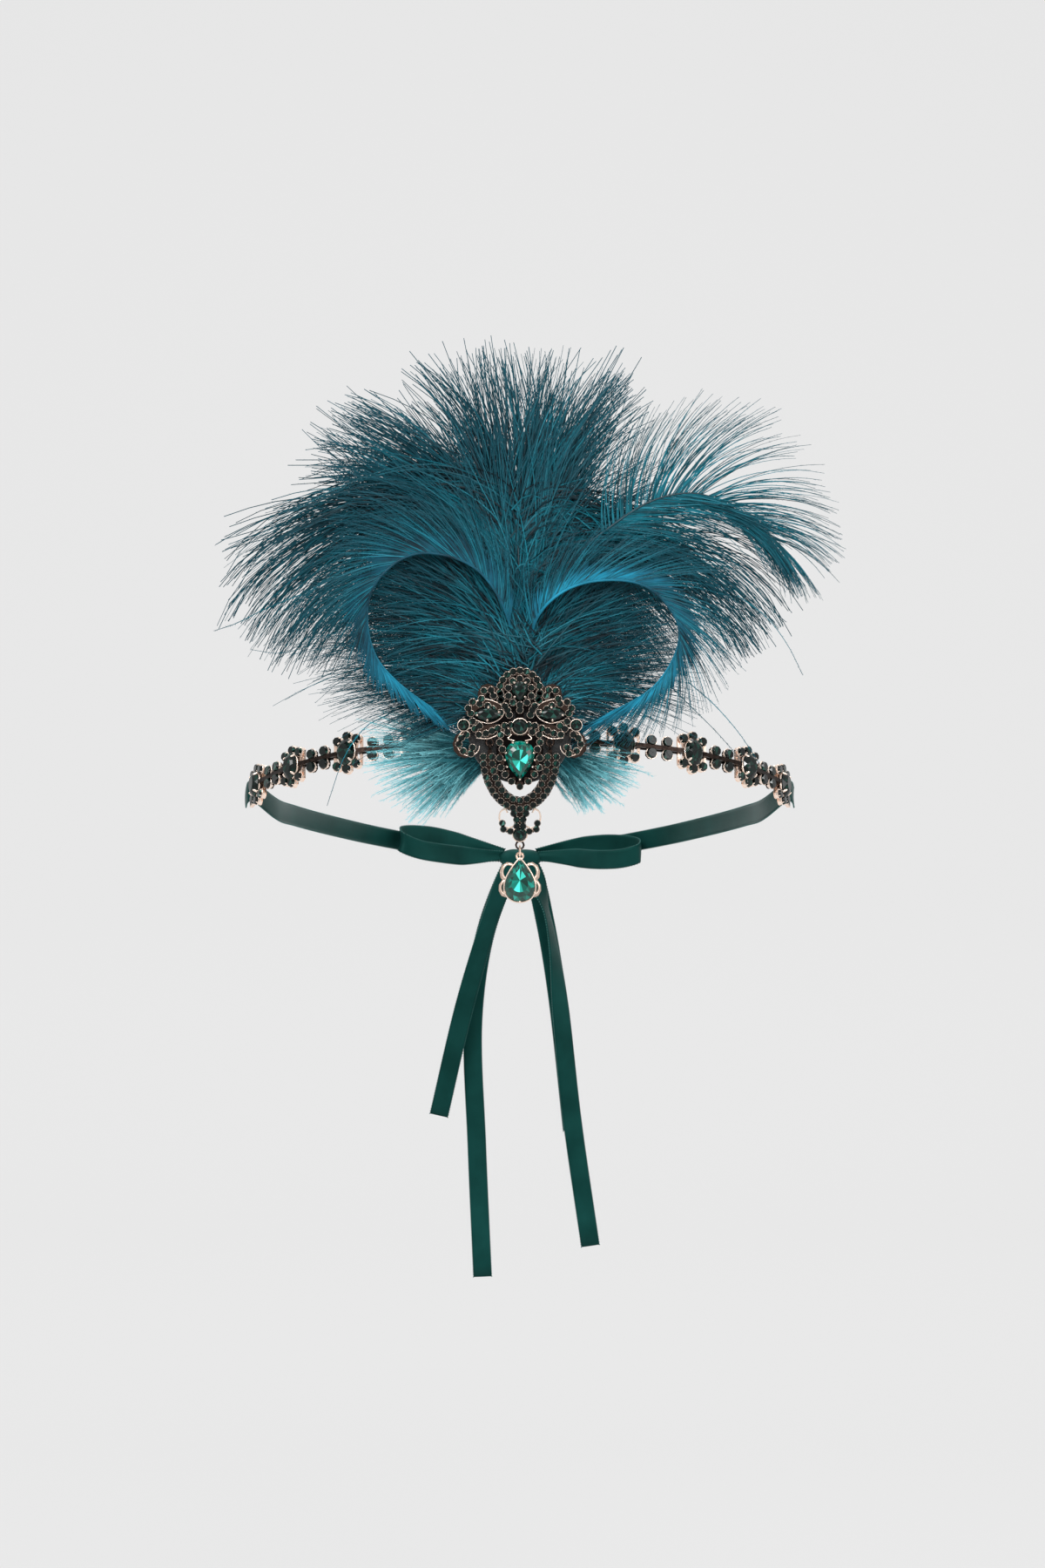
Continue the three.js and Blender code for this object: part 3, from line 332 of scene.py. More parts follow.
# Band course: links lie on two arcs, a wide one over the forehead and a tighter one round the temples,
# in a plane that slopes down to the back. Each link's seats are placed from its own middle.
forehead_radius, temple_radius = 118, 68
forehead_turn = math.radians(14)
first_flower, flower_pitch, flower_reach = 28.8, 21, 4.4
pin_depth = 1.3
band_slope = 16.2
band_front, band_level = -96.3, 19.8
band_plane = offset(0, band_front, band_level) @ turned(-band_slope, "X")
FRONT = Matrix.Rotation(math.pi / 2, 4, "X")


def band_place(distance):
    turn = min(distance / forehead_radius, forehead_turn)
    heading = turn + max(distance - forehead_radius * forehead_turn, 0) / temple_radius
    x = forehead_radius * math.sin(turn) + temple_radius * (math.sin(heading) - math.sin(turn))
    depth = forehead_radius * (1 - math.cos(turn)) + temple_radius * (math.cos(turn) - math.cos(heading))
    return x, depth, heading


def pin_place(distance, reach):
    x, depth, heading = band_place(distance)
    return x + reach * math.cos(heading), depth + reach * math.sin(heading)


def on_band(side, x, depth, heading):
    return band_plane @ offset(side * x, depth) @ Matrix.Rotation(side * heading, 4, "Z")


flowers, columns = [], []
for number in range(4):
    distance = first_flower + flower_pitch * number
    x, depth, heading = band_place(distance)
    near = pin_place(distance - flower_pitch, flower_reach)
    far = pin_place(distance, -flower_reach)
    chord = math.atan2(far[1] - near[1], far[0] - near[0])
    for side in (-1, 1):
        flowers.append(on_band(side, x, depth, heading))
        columns.append(on_band(side, (near[0] + far[0]) / 2, (near[1] + far[1]) / 2, chord))

# A seat's local Z points forward; its level counts from the head side of the link
seat_depth = pin_depth - 1.8
petals = [(x, up * z) for up in (-1, 1) for x, z in ((0, 4.7), (-3.2, 3.6), (3.2, 3.6))]
pairs = [(x, z) for x in (-2.45, 2.45) for z in (-1.85, 1.85)]
seats, breadth = [], []
for link_places, spots, radius in ((flowers, petals, 1.4), (columns, pairs, 1.6)):
    for link_place in link_places:
        seats += [link_place @ offset(x, seat_depth, z) @ FRONT for x, z in spots]
        breadth += [radius] * len(spots)
small_stones("band_small_stones", [sized(seat @ offset(z=0.42), r, r, 1.55) for seat, r in zip(seats, breadth)],
             "headband")
cups = copies(cup, raised(seats, 0.35, 1.3, 1.1))
rims = copies(rim, [sized(seat @ offset(z=0.28), r - 0.02, r - 0.02, 1.2) for seat, r in zip(seats, breadth)])
claws = [sized(seat @ turned(45 + 90 * quarter, "Z") @ offset(1.26, 0, 0.6) @ turned(-32, "Y"), 0.17, 0.2, 0.55)
         for seat in seats for quarter in range(4)]
build("band_cups", [cups, rims, copies(prong, claws)], painted_highlight_gold, "headband")

# Large oval stones of the band, cut with a broad table, held over each flower link by an oval collar
# and four strong prongs.
cut_rings = ((0.55, 0.0), (1.0, 0.38), (1.0, 0.46), (0.8, 0.78), (0.56, 1.0))    # (width, level), back to table


def outline_cut(outline, back, depth):
    """A faceted stone on an outline of (x, z); its last faces are the table's sectors and then the back's."""
    count = len(outline)
    verts = []
    for index, (share, level) in enumerate(cut_rings):
        turn = 0.5 if index == 3 else 0.0
        for step in range(count):
            a, b = outline[step], outline[(step + 1) % count]
            x, z = ((a[axis] * (1 - turn) + b[axis] * turn) * share for axis in (0, 1))
            verts.append((x, -(back + depth * level), z))
    faces = []
    for index in range(len(cut_rings) - 1):
        for step in range(count):
            a = index * count + step
            b = index * count + (step + 1) % count
            c, d = a + count, b + count
            faces += [(a, b, c), (b, d, c)] if index == 2 else [(a, b, d), (a, d, c)]
    table = (len(cut_rings) - 1) * count
    verts.append((0.12 * outline[0][0], -(back + depth), 0.1 * outline[count // 4][1]))
    faces += [(table + step, table + (step + 1) % count, table + count) for step in range(count)]
    verts.append((0, -back, 0))
    faces += [((step + 1) % count, step, table + count + 1) for step in range(count)]
    verts = np.array(verts)
    centre = verts.mean(axis=0)
    facing_out = []
    for face in faces:
        a, b, c = verts[face[0]], verts[face[1]], verts[face[2]]
        out = np.dot(np.cross(b - a, c - a), (a + b + c) / 3 - centre) > 0
        facing_out.append(face if out else face[::-1])
    return verts, facing_out


def oval(half_width, half_height, count):
    angles = [2 * math.pi * (step + 0.5) / count for step in range(count)]
    return [(half_width * math.cos(a), half_height * math.sin(a)) for a in angles]


dark = (dark_glass, "dark_stone", 0.0)


def set_stone(name, node, body, place, outline, back, depth, glass, run, high=0.9):
    """Painted reflections: crown facet tones vary a little at random, and the table's sectors take broad runs of light
    and dark tones that stand in for the back facets' reflections.
    """
    material, slot, low = glass
    unit = outline_cut(outline, back, depth)
    tones = [low + (high - low) * dice.random() ** 1.6 for _ in unit[1]]
    count = len(outline)
    for step in range(count):
        tones[len(tones) - 2 * count + step] = run[int(step * len(run) / count)]
    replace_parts(build(name, [copies(unit, [place])], material, body, tones=tones), node)


# Table runs: painted reflections of the back facets
oval_painted_reflections = [0.3, 0.85, 0.1, 0.6, 0.05, 0.75, 0.2, 0.45]
for index, flower in enumerate(flowers):
    place = f"{sides[index % 2]}_{index // 2 + 1}"
    run = oval_painted_reflections[index % 3:] + oval_painted_reflections[:index % 3]
    set_stone(f"oval_stone_{place}", f"flower_stone_{place}", "headband", flower @ offset(y=pin_depth - 2.05),
              oval(3, 3.8, 16), 0, 2.2, dark, run)
collars, grips = [], []
for flower in flowers:
    seat = flower @ offset(y=pin_depth - 2.1) @ FRONT
    collars.append(sized(seat @ offset(z=0.35), 2.95, 3.72, 2.6))
    for x, y in ((-1, -1), (1, -1), (-1, 1), (1, 1)):
        lean = Matrix.Rotation(math.atan2(y * 2.7, x * 2.05), 4, "Z") @ turned(-28, "Y")
        grips.append(sized(seat @ offset(x * 1.98, y * 2.62, 1.1) @ lean, 0.34, 0.42, 1.1))
build("band_collars", [copies(rim, collars), copies(prong, grips)], painted_highlight_gold, "headband", smooth=True)

# Ribbon: one width of dark green satin with a looped edge, folded through each end link, run round the head
# and tied behind. Woven from one long thread direction, so it shines across its length.
ribbon_width, half_thickness = 6, 0.2
knot_back, knot_level = 95, -16.4


def smooth_course(points, steps):
    """A centripetal curve through the points, taken at even shares of its spans."""
    points = [np.array(point, dtype=float) for point in points]
    last = len(points) - 1
    course = []
    for step in range(steps + 1):
        reach = last * step / steps
        span = min(int(reach), last - 1)
        weight = reach - span
        p1, p2 = points[span], points[span + 1]
        p0 = points[span - 1] if span > 0 else 2 * points[0] - points[1]
        p3 = points[span + 2] if span + 2 <= last else 2 * points[last] - points[last - 1]
        d0, d1, d2 = (max(np.linalg.norm(b - a), 1e-6) ** 0.5 for a, b in ((p0, p1), (p1, p2), (p2, p3)))
        t1 = ((p1 - p0) / d0 - (p2 - p0) / (d0 + d1) + (p2 - p1) / d1) * d1
        t2 = ((p2 - p1) / d1 - (p3 - p1) / (d1 + d2) + (p3 - p2) / d2) * d1
        c2 = -3 * p1 + 3 * p2 - 2 * t1 - t2
        c3 = 2 * p1 - 2 * p2 + t1 + t2
        course.append(p1 + t1 * weight + c2 * weight ** 2 + c3 * weight ** 3)
    return np.array(course)


def unit_rows(rows):
    return rows / np.maximum(np.linalg.norm(rows, axis=-1, keepdims=True), 1e-9)


def course_lengths(points):
    return np.concatenate([[0], np.cumsum(np.linalg.norm(np.diff(points, axis=0), axis=1))])


def point_at(course, lengths, at):
    return np.array([np.interp(at, lengths, course[:, axis]) for axis in range(course.shape[1])])


def tube_faces(stations, ring):
    """Quads between rings of corners, one ring for each station."""
    return [(a, b, b + ring, a + ring) for station in range(stations - 1) for step in range(ring)
            for a, b in [(station * ring + step, station * ring + (step + 1) % ring)]]


def gathered(from_knot, narrowest, reach):
    return np.clip(narrowest + (1 - narrowest) * from_knot / reach, 0, 1)


edge_beads = []


def ribbon_piece(name, node, points, widths, gather):
    """A ribbon along points, widths giving its cross direction; gather is its share of the full width."""
    run = unit_rows(np.gradient(points, axis=0))
    across = np.array([np.array(width, dtype=float) for width in widths])
    across = unit_rows(across - run * np.sum(run * across, axis=1, keepdims=True))
    face = np.cross(run, across)
    shares = np.linspace(-1, 1, 9)
    half = len(shares)
    lengths = course_lengths(points)
    verts = []
    for centre, side_way, out, narrow in zip(points, across, face, gather):
        crease = 0.22 + 0.5 * (1 - narrow)
        for level, order in ((half_thickness, shares), (-half_thickness, shares[::-1])):
            for s in order:
                fold = crease * math.cos(5 * s * (1 - narrow)) * (1 - s * s)
                verts.append(centre + side_way * ribbon_width / 2 * s * narrow + out * (level + fold))
    ring = 2 * half
    faces = tube_faces(len(points), ring)
    end = (len(points) - 1) * ring
    for step in range(half - 1):
        faces.append((step + 1, step, ring - 1 - step, ring - 2 - step))
        faces.append((end + step, end + step + 1, end + ring - 2 - step, end + ring - 1 - step))
    strip = build(name, [(np.array(verts), faces)], satin, "headband", smooth=True)
    uv = strip.data.uv_layers.new(name="ribbon")
    places = np.empty(len(strip.data.loops), dtype=np.int32)
    strip.data.loops.foreach_get("vertex_index", places)
    station, step = places // ring, places % ring
    u = np.where(step < half, step, ring - 1 - step) / (half - 1)
    uv.data.foreach_set("uv", np.column_stack([u, lengths[station] / ribbon_width]).ravel())
    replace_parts(strip, node)
    bead_pitch, bead_size = 0.85, 0.24
    for way in (-1, 1):
        edge = points + across * (ribbon_width / 2 + 0.02) * way * gather[:, None]
        for at in np.linspace(0, lengths[-1], int(lengths[-1] / bead_pitch)):
            edge_beads.append(sized(Matrix.Translation(point_at(edge, lengths, at)), *[bead_size] * 3))


satin, tree, shader = plain_material("green_satin", (0.006, 0.05, 0.045), 0.45, {
    "Specular IOR Level": 0.22, "Specular Tint": (0.25, 0.85, 0.75, 1),
    "Sheen Weight": 0.03, "Sheen Roughness": 0.3, "Sheen Tint": (0.25, 0.75, 0.68, 1)})
blend_colours(tree, shader, uneven_value(tree, 90), (0.002, 0.026, 0.023), (0.005, 0.046, 0.041))
weave_place = tree.nodes.new("ShaderNodeUVMap")
weave_place.uv_map = "ribbon"
weave = tree.nodes.new("ShaderNodeTexWave")
set_inputs(weave, {"Scale": 12, "Distortion": 1.2, "Detail": 2})
tree.links.new(weave_place.outputs["UV"], weave.inputs["Vector"])
bump(tree, shader, weave.outputs["Fac"], 0.25, 0.00005)
bead = take(new_round("ico_sphere", subdivisions=1, radius=1))

# The fold at the end link is given as (distance past its pin, distance in front of the pin's line)
last_flower = first_flower + 3 * flower_pitch
end_x, end_depth = pin_place(last_flower, flower_reach)
end_heading = band_place(last_flower)[2] + 2 * flower_reach / temple_radius
far_bar = 3.7
bar_middle = far_bar + 0.55
around = 0.75
inside, outside = 0.8 - around, 1.8 + around
fold = [
    (bar_middle + 5.5, outside - 0.6), (bar_middle, outside), (far_bar - around + 0.15, outside - 0.35),
    (far_bar - around, (inside + outside) / 2), (far_bar - around + 0.15, inside + 0.35), (bar_middle, inside),
]
way_shares = ((0.945, 0.1, 0.2), (0.9, 0.4, 0.33), (0.77, 0.68, 0.5), (0.58, 0.88, 0.68), (0.26, 0.99, 0.9))
slope = math.radians(band_slope)
upright = np.array((0, math.sin(slope), math.cos(slope)))
strap_routes = {}
for side, word in ((-1, "left"), (1, "right")):
    folded = []
    for x, out in fold:
        place = Matrix.Rotation(end_heading, 4, "Z") @ Vector((x, pin_depth - out, 0))
        folded.append(np.array(band_plane @ Vector((side * (place.x + end_x), place.y + end_depth, 0))))
    start = folded[-1]
    end = np.array((side * 5.3, knot_back + 2.35, knot_level))
    way = [(start[0] * x, start[1] + (end[1] - start[1]) * back, start[2] + (end[2] - start[2]) * drop)
           for x, back, drop in way_shares]
    strap_routes[word] = smooth_course([start, *way, end], 14)
    points = np.vstack([smooth_course(folded, 20)[:-1], smooth_course([start, *way, end], 56)])
    share = np.clip((np.arange(len(points)) - 20) / 16, 0, 1)[:, None]
    widths = upright * (1 - share) + np.array((0, 0, 1)) * share
    ribbon_piece(f"satin_strap_{word}", f"strap_{word}", points, widths,
                 gathered(np.linspace(1, 0, len(points)), 0.42, 0.14))

# Bow: two loops that lie inside the straps, four hanging ends and a pinched knot over them,
# all of the same satin ribbon.
loop_reach, loop_depth, loop_steps = 42, 9, 64
loop_course = [    # share of the reach, share of the depth, rise at the left, rise at the right
    (0.0, 0.12, 0.15, 0.12), (0.3, 0.55, 0.12, 0.05), (0.65, 0.95, 0.3, -0.05), (0.9, 0.85, 0.55, 0.05),
    (1.0, 0.5, 0.9, 0.3), (0.93, 0.12, 1.25, 0.6), (0.65, 0.02, 1.25, 0.8), (0.3, 0.0, 0.75, 0.6),
    (0.0, 0.0, 0.3, 0.3),
]
for word, tilt in (("left", 0.16), ("right", -0.12)):
    back_way = smooth_course(strap_routes[word][::-1], 200)
    lengths = course_lengths(back_way)
    tangents = unit_rows(np.gradient(back_way, axis=0))
    course = []
    for out, open_share, *rises in loop_course:
        place = point_at(back_way, lengths, out * loop_reach)
        run = point_at(tangents, lengths, out * loop_reach)
        inner = np.array((-run[1], run[0], 0))
        inner /= np.linalg.norm(inner)
        if inner[1] > 0:
            inner = -inner
        rise = rises[sides.index(word)] * ribbon_width
        lifted = np.array((place[0], place[1], knot_level + rise))
        course.append(lifted + inner * (1.5 + open_share * loop_depth))
    widths = [(0, tilt * math.sin(math.pi * step / loop_steps), 1) for step in range(loop_steps + 1)]
    there = np.linspace(0, 1, loop_steps + 1)
    ribbon_piece(f"satin_loop_{word}", f"bow_loop_{word}", smooth_course(course, loop_steps), widths,
                 gathered(np.minimum(there, there[::-1]), 0.42, 0.16))

tail_length, tail_steps = 134, 48
tail_top = knot_level - 3.6 - 0.6
tails = [    # level in front of the knot, then rows of (share down, share sideways, turn in degrees)
    (2.6, [(0.0, -0.028, 10), (0.1, -0.068, 25), (0.2, -0.1, 20), (0.35, -0.142, 5), (0.6, -0.2, 0)]),
    (-1.8, [(0.0, -0.028, 0), (0.15, -0.085, 0), (0.36, -0.116, 0), (0.68, -0.107, 5), (1, -0.093, 0)]),
    (2.6, [(0.0, 0.03, 0), (0.1, 0.064, 72), (0.2, 0.083, 60), (0.35, 0.1, 25), (0.6, 0.126, 5), (0.92, 0.172, 0)]),
    (-2.6, [(0.0, 0.03, 0), (0.12, 0.06, 10), (0.3, 0.09, 5), (0.64, 0.128, 0)]),
]
for number, (front, rows) in enumerate(tails, 1):
    course, turns = [], []
    knot_row = (-0.024, rows[0][1] * 0.4, rows[0][2])
    for down, side, turn in [knot_row, *rows]:
        level = front * (0.5 + 0.5 * min(down * 10, 1))
        course.append((side * tail_length, knot_back - level, tail_top - down * tail_length))
        turns.append((turn, down, 0))
    spun = np.radians(smooth_course(turns, tail_steps)[:, 0])
    widths = np.column_stack([np.cos(spun), np.sin(spun), np.zeros(tail_steps + 1)])
    ribbon_piece(f"satin_tail_{number}", f"ribbon_tail_{number}", smooth_course(course, tail_steps), widths,
                 gathered(np.linspace(0, 1, tail_steps + 1), 0.55, 0.16))
# Painted highlight: the edge loops are a lighter teal than the satin, standing in for the dotted highlights along the
# ribbon's edges
picot_painted_highlight, tree, shader = plain_material("satin_edge_loops_highlight", (0.02, 0.13, 0.115), 0.5)
blend_colours(tree, shader, uneven_value(tree, 500), (0.012, 0.09, 0.08), (0.03, 0.17, 0.155))
build("ribbon_edge_loops", [copies(bead, edge_beads)], picot_painted_highlight, "headband", smooth=True)

knot = new_round("uv_sphere", segments=32, ring_count=20, radius=1)
for vertex in knot.data.vertices:
    x, y, z = vertex.co
    crease = 0.1 * math.cos(5 * x + 1.2 * z) * (1 - 0.4 * abs(z))
    pinch = 0.78 + 0.22 * abs(x)
    vertex.co = (x * 7.2, y * (2.9 + 0.5 * crease) * pinch, z * (3.6 + crease) * pinch)
knot_verts, knot_faces = take(knot)
knot_piece = build("satin_knot", [(knot_verts + np.array((0, knot_back, knot_level)), knot_faces)], satin,
                   "headband", smooth=True)
knot_uv = knot_piece.data.uv_layers.new(name="ribbon")
for loop in knot_piece.data.loops:
    co = knot_piece.data.vertices[loop.vertex_index].co
    knot_uv.data[loop.index].uv = (co.z * 160, co.x * 160)
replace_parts(knot_piece, "bow_knot")

# Pad: a disc of black wool felt that the brooch and feathers are glued to; its edge is cut and a little furry.
felt, tree, shader = plain_material("black_felt", (0.006, 0.008, 0.008), 0.95, {"Sheen Weight": 0.5})
blend_colours(tree, shader, uneven_value(tree, 2500), (0.004, 0.005, 0.006), (0.02, 0.024, 0.026))
bump(tree, shader, uneven_value(tree, 6000), 0.8, 0.0003)
pad_level = 22.3
pad = new_round("cylinder", vertices=96, radius=14.2, depth=1.5)
bpy.ops.object.mode_set(mode="EDIT")
bpy.ops.mesh.select_all(action="SELECT")
bpy.ops.mesh.bevel(offset=0.45, segments=3, affect="EDGES")
bpy.ops.mesh.normals_make_consistent(inside=False)
bpy.ops.object.mode_set(mode="OBJECT")
pad_place = offset(0, -102.35, pad_level) @ FRONT
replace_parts(build("wool_felt_pad", [copies(take(pad), [pad_place])], felt, "headband"), "felt_pad")

# Feather barbs: every barb is one thin tapering strip, with shorter barbules along it as on real down,
# gathered in locks whose tips draw together.
barb_seed = np.random.default_rng(45)


def bezier_paths(start, first, second, tip, steps):
    t = np.linspace(0, 1, steps + 1)[None, :, None]
    a, b, c, d = (points[:, None, :] for points in (start, first, second, tip))
    return a * (1 - t) ** 3 + 3 * b * t * (1 - t) ** 2 + 3 * c * t ** 2 * (1 - t) + d * t ** 3


def heading_way(angles):
    return np.column_stack([np.sin(angles), np.zeros_like(angles), np.cos(angles)])


def feather_piece(name, node, paths, root_width, tip_width, tones, kind, barbules=0, barbule_length=2.0,
                  barbule_from=0.25, facing=0.5, barbule_width=0.11):
    """Barbs along paths; kind is (material, slot), and its slot is not used; tones has one value for each barb."""
    count, stations, _ = paths.shape
    run = unit_rows(np.gradient(paths, axis=1))
    eye = np.zeros((count, 1, 3))
    eye[:, 0, 1] = -1
    eye[:, 0, 0] = barb_seed.normal(0, facing, count)
    eye[:, 0, 2] = barb_seed.normal(0, facing, count)
    side = unit_rows(np.cross(run, np.broadcast_to(eye, run.shape)))
    along = np.linspace(0, 1, stations)
    half = ((root_width + (tip_width - root_width) * along ** 0.8) / 2)[None, :, None]
    verts = np.stack([paths - side * half, paths + side * half], axis=2).reshape(-1, 3)
    base = ((np.arange(count) * stations * 2)[:, None] + (np.arange(stations - 1) * 2)[None, :]).ravel()
    faces = np.column_stack([base, base + 1, base + 3, base + 2]).tolist()
    tone_v = np.repeat(tones, stations * 2)
    along_v = np.tile(np.repeat(along, 2), count)
    if barbules:
        at = barb_seed.uniform(barbule_from, 1.0, (count, barbules))
        reach = at * (stations - 1)
        low = np.minimum(reach.astype(int), stations - 2)
        share = (reach - low)[:, :, None]
        rows = np.arange(count)[:, None]
        root = paths[rows, low] * (1 - share) + paths[rows, low + 1] * share
        way = run[rows, low]
        hand = np.where(barb_seed.random((count, barbules)) < 0.5, -1.0, 1.0)[:, :, None]
        across = side[rows, low] * hand
        lean = barb_seed.uniform(0.45, 0.95, (count, barbules, 1))
        shrink = 1.05 - 0.55 * at[:, :, None]
        size = barbule_length * barb_seed.uniform(0.55, 1.15, (count, barbules, 1)) * shrink
        direction = way + across * lean
        direction[:, :, 1] += barb_seed.normal(0, 0.35, (count, barbules))
        tip = root + unit_rows(direction) * size
        foot = root + way * barbule_width * 1.6
        corner = len(verts) + np.arange(count * barbules) * 3
        faces += np.column_stack([corner, corner + 1, corner + 2]).tolist()
        verts = np.vstack([verts, np.stack([root, foot, tip], axis=2).reshape(-1, 3)])
        tone_v = np.concatenate([tone_v, np.repeat(np.repeat(tones, barbules), 3)])
        along_v = np.concatenate([along_v, np.repeat(at.ravel(), 3)])
    piece = build(name, [(verts, faces)], kind[0], "headband")
    for label, values in (("tone", tone_v), ("along", along_v)):
        layer = piece.data.attributes.new(label, "FLOAT", "POINT")
        layer.data.foreach_set("value", values.astype(np.float32))
    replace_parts(piece, node)


def feather_material(name, dark, bright, tip, tip_from, roughness, sheen):
    """Dyed feather: tone varies from barb to barb, and the dye is different towards the tips."""
    material, tree, shader = plain_material(name, bright, roughness, {
        "Sheen Weight": sheen, "Sheen Roughness": 0.4, "Sheen Tint": (0.2, 0.7, 0.8, 1), "Specular IOR Level": 0.2})
    total = tree.nodes.new("ShaderNodeMath")
    total.operation = "ADD"
    total.use_clamp = True
    tree.links.new(reader(tree, "tone"), total.inputs[0])
    tree.links.new(uneven_value(tree, 140, -0.18, 0.18), total.inputs[1])
    body = colour_mix(tree, total.outputs["Value"], dark, bright)
    reach = tree.nodes.new("ShaderNodeMapRange")
    set_inputs(reach, {"From Min": tip_from, "From Max": 1.0})
    tree.links.new(reader(tree, "along"), reach.inputs["Value"])
    ends = colour_mix(tree, reach.outputs["Result"], dark, tip)
    tree.links.new(body.outputs["Result"], ends.inputs["A"])
    tree.links.new(ends.outputs["Result"], shader.inputs["Base Color"])
    return material


# Plume: dark teal ostrich, wired together at its foot behind the pad. Locks start along the middle,
# rise, and bend over to the sides; reach in every direction is read off the finished plume's outline.
ostrich_dye = ((0.0004, 0.009, 0.014), (0.005, 0.17, 0.23), (0.0015, 0.055, 0.08))
ostrich = (feather_material("ostrich_teal", *ostrich_dye, 0.6, 0.5, 0.08), "ostrich")
plume_foot = np.array((0.0, -98.6, 34.0))
reach_angles = [-112, -100, -92, -86, -78, -64, -50, -42, -28, -14, -5, 0, 8, 25, 41, 52, 60, 67, 80, 90, 102]
reach_sizes = [24, 40, 64, 75, 81, 90, 92, 93, 95, 96, 98, 97, 99, 96, 95, 93, 92, 86, 74, 52, 26]


def plume_paths(locks, each, steps, near, far, level, lean, spread_angle, spread_end, low=-84, high=82, stem=52):
    """Paths and tones of locks from angle low to high, reaching near to far of the outline."""
    barbs, tones = [], []
    for lock in range(locks):
        angle = low + (high - low) * ((lock + 0.5) / locks) + barb_seed.normal(0, 2.0)
        size = barb_seed.uniform(near, far)
        height = 0.5 * min(abs(angle) / 55, 1) + 0.5 * barb_seed.random() ** 1.2
        if 24 < angle < 66:    # the thin place at the upper right
            size *= barb_seed.uniform(0.4, 0.86)
        shade = barb_seed.uniform(0.0, 0.72)
        back = barb_seed.random()
        fold = barb_seed.normal(0, 8)
        for _ in range(each):
            here = angle + barb_seed.normal(0, spread_angle)
            radius = np.interp(here, reach_angles, reach_sizes) * size * (1 - abs(barb_seed.normal(0, 0.1)))
            out = heading_way(np.array([math.radians(here)]))[0]
            shorter = 1 - 0.2 * min(abs(here) / 100, 1)
            rise = np.clip(height + barb_seed.normal(0, 0.16), 0, 1.15) * stem * shorter
            start = np.array((0.02 * here + barb_seed.normal(0, 1.6), -level + barb_seed.normal(0, 0.5), 31 + rise))
            tip = plume_foot + radius * out
            tip += np.array((barb_seed.normal(0, spread_end), 0, barb_seed.normal(0, spread_end)))
            distance = np.linalg.norm((tip - start)[[0, 2]])
            falling = lean * (0.35 + 0.65 * back) * min(distance / 80, 1.1)
            tip[1] = -level + falling + barb_seed.normal(0, 0.9)
            set_off = math.radians(here * (0.12 + 0.5 * rise / 50) + barb_seed.normal(0, 7))
            arrive = math.radians(np.clip(here * 1.95 + fold + barb_seed.normal(0, 7), -160, 160))
            ways = heading_way(np.array([set_off, arrive]))
            first = start + ways[0] * distance * 0.46
            first[1] += 0.15 * (tip[1] - start[1])
            second = tip - ways[1] * distance * 0.36
            second[1] = start[1] + 0.55 * (tip[1] - start[1])
            barbs.append((start, first, second, tip))
            tones.append(np.clip(shade + barb_seed.normal(0, 0.34), 0, 1))
    return bezier_paths(*np.array(barbs).transpose(1, 0, 2), steps), np.array(tones)


plume_layers = [    # name, shape of its locks, width at root and tip, share and lift of the tones
    ("back", plume_paths, (58, 23, 12, 0.82, 1.05, 98.4, 22, 1.7, 1.2), {}, (0.5, 0.2), 0.75, 0),
    ("middle", plume_paths, (56, 24, 12, 0.62, 1.0, 99.1, 12, 1.6, 1.1), {}, (0.45, 0.12), 1, 0),
    ("front", plume_paths, (50, 30, 11, 0.42, 0.84, 99.6, 4, 2.0, 1.4), {"stem": 34}, (0.42, 0.12), 1, 0.1),
    ("crown", plume_paths, (26, 26, 12, 0.74, 1.0, 98.8, 9, 2.2, 1.4), {"low": -44, "high": 27, "stem": 50},
     (0.46, 0.18), 1, 0),
]
for layer, _, shape, limits, widths, share, lift in plume_layers:
    paths, tones = plume_paths(*shape, **limits)
    feather_piece(f"plume_{layer}_locks", "plume", paths, *widths, np.clip(tones * share + lift, 0, 1), ostrich,
                  barbules=34, barbule_length=1.0)

# Stems of the plume: the centre quill shows dark between the locks, and one long feather on the right
# droops, with open barbs above its quill and dense ones below.


def tube(points, radii, count=6):
    run = unit_rows(np.gradient(points, axis=0))
    side = unit_rows(np.cross(run, np.array((0.02, -1, 0.01))))
    up = np.cross(side, run)
    angles = np.linspace(0, 2 * math.pi, count, endpoint=False)
    across, rise = np.cos(angles)[:, None], np.sin(angles)[:, None]
    verts = np.vstack([p + r * (across * s + rise * u) for p, r, s, u in zip(points, radii, side, up)])
    ends = [tuple(range(count))[::-1], tuple((len(points) - 1) * count + step for step in range(count))]
    return verts, tube_faces(len(points), count) + ends


quill_dark, tree, shader = plain_material("dyed_quill", (0.003, 0.02, 0.03), 0.4)
blend_colours(tree, shader, uneven_value(tree, 300), (0.002, 0.012, 0.02), (0.006, 0.045, 0.06))
centre_stem = smooth_course([(0.3, -99.0, 32), (0.2, -99.9, 52), (-0.4, -99.8, 70), (-1.4, -98.0, 92)], 20)
droop_stem = smooth_course([(2, -99.6, 33), (6, -99.8, 52), (12.7, -99.9, 68), (24.7, -99.6, 78.5),
                            (36.7, -98.6, 86), (48.7, -97.5, 88), (60, -96, 83.5), (72, -94.5, 74)], 40)
build("plume_stems", [tube(centre_stem, np.linspace(0.5, 0.18, 21)), tube(droop_stem, np.linspace(0.5, 0.12, 41))],
      quill_dark, "headband", smooth=True)


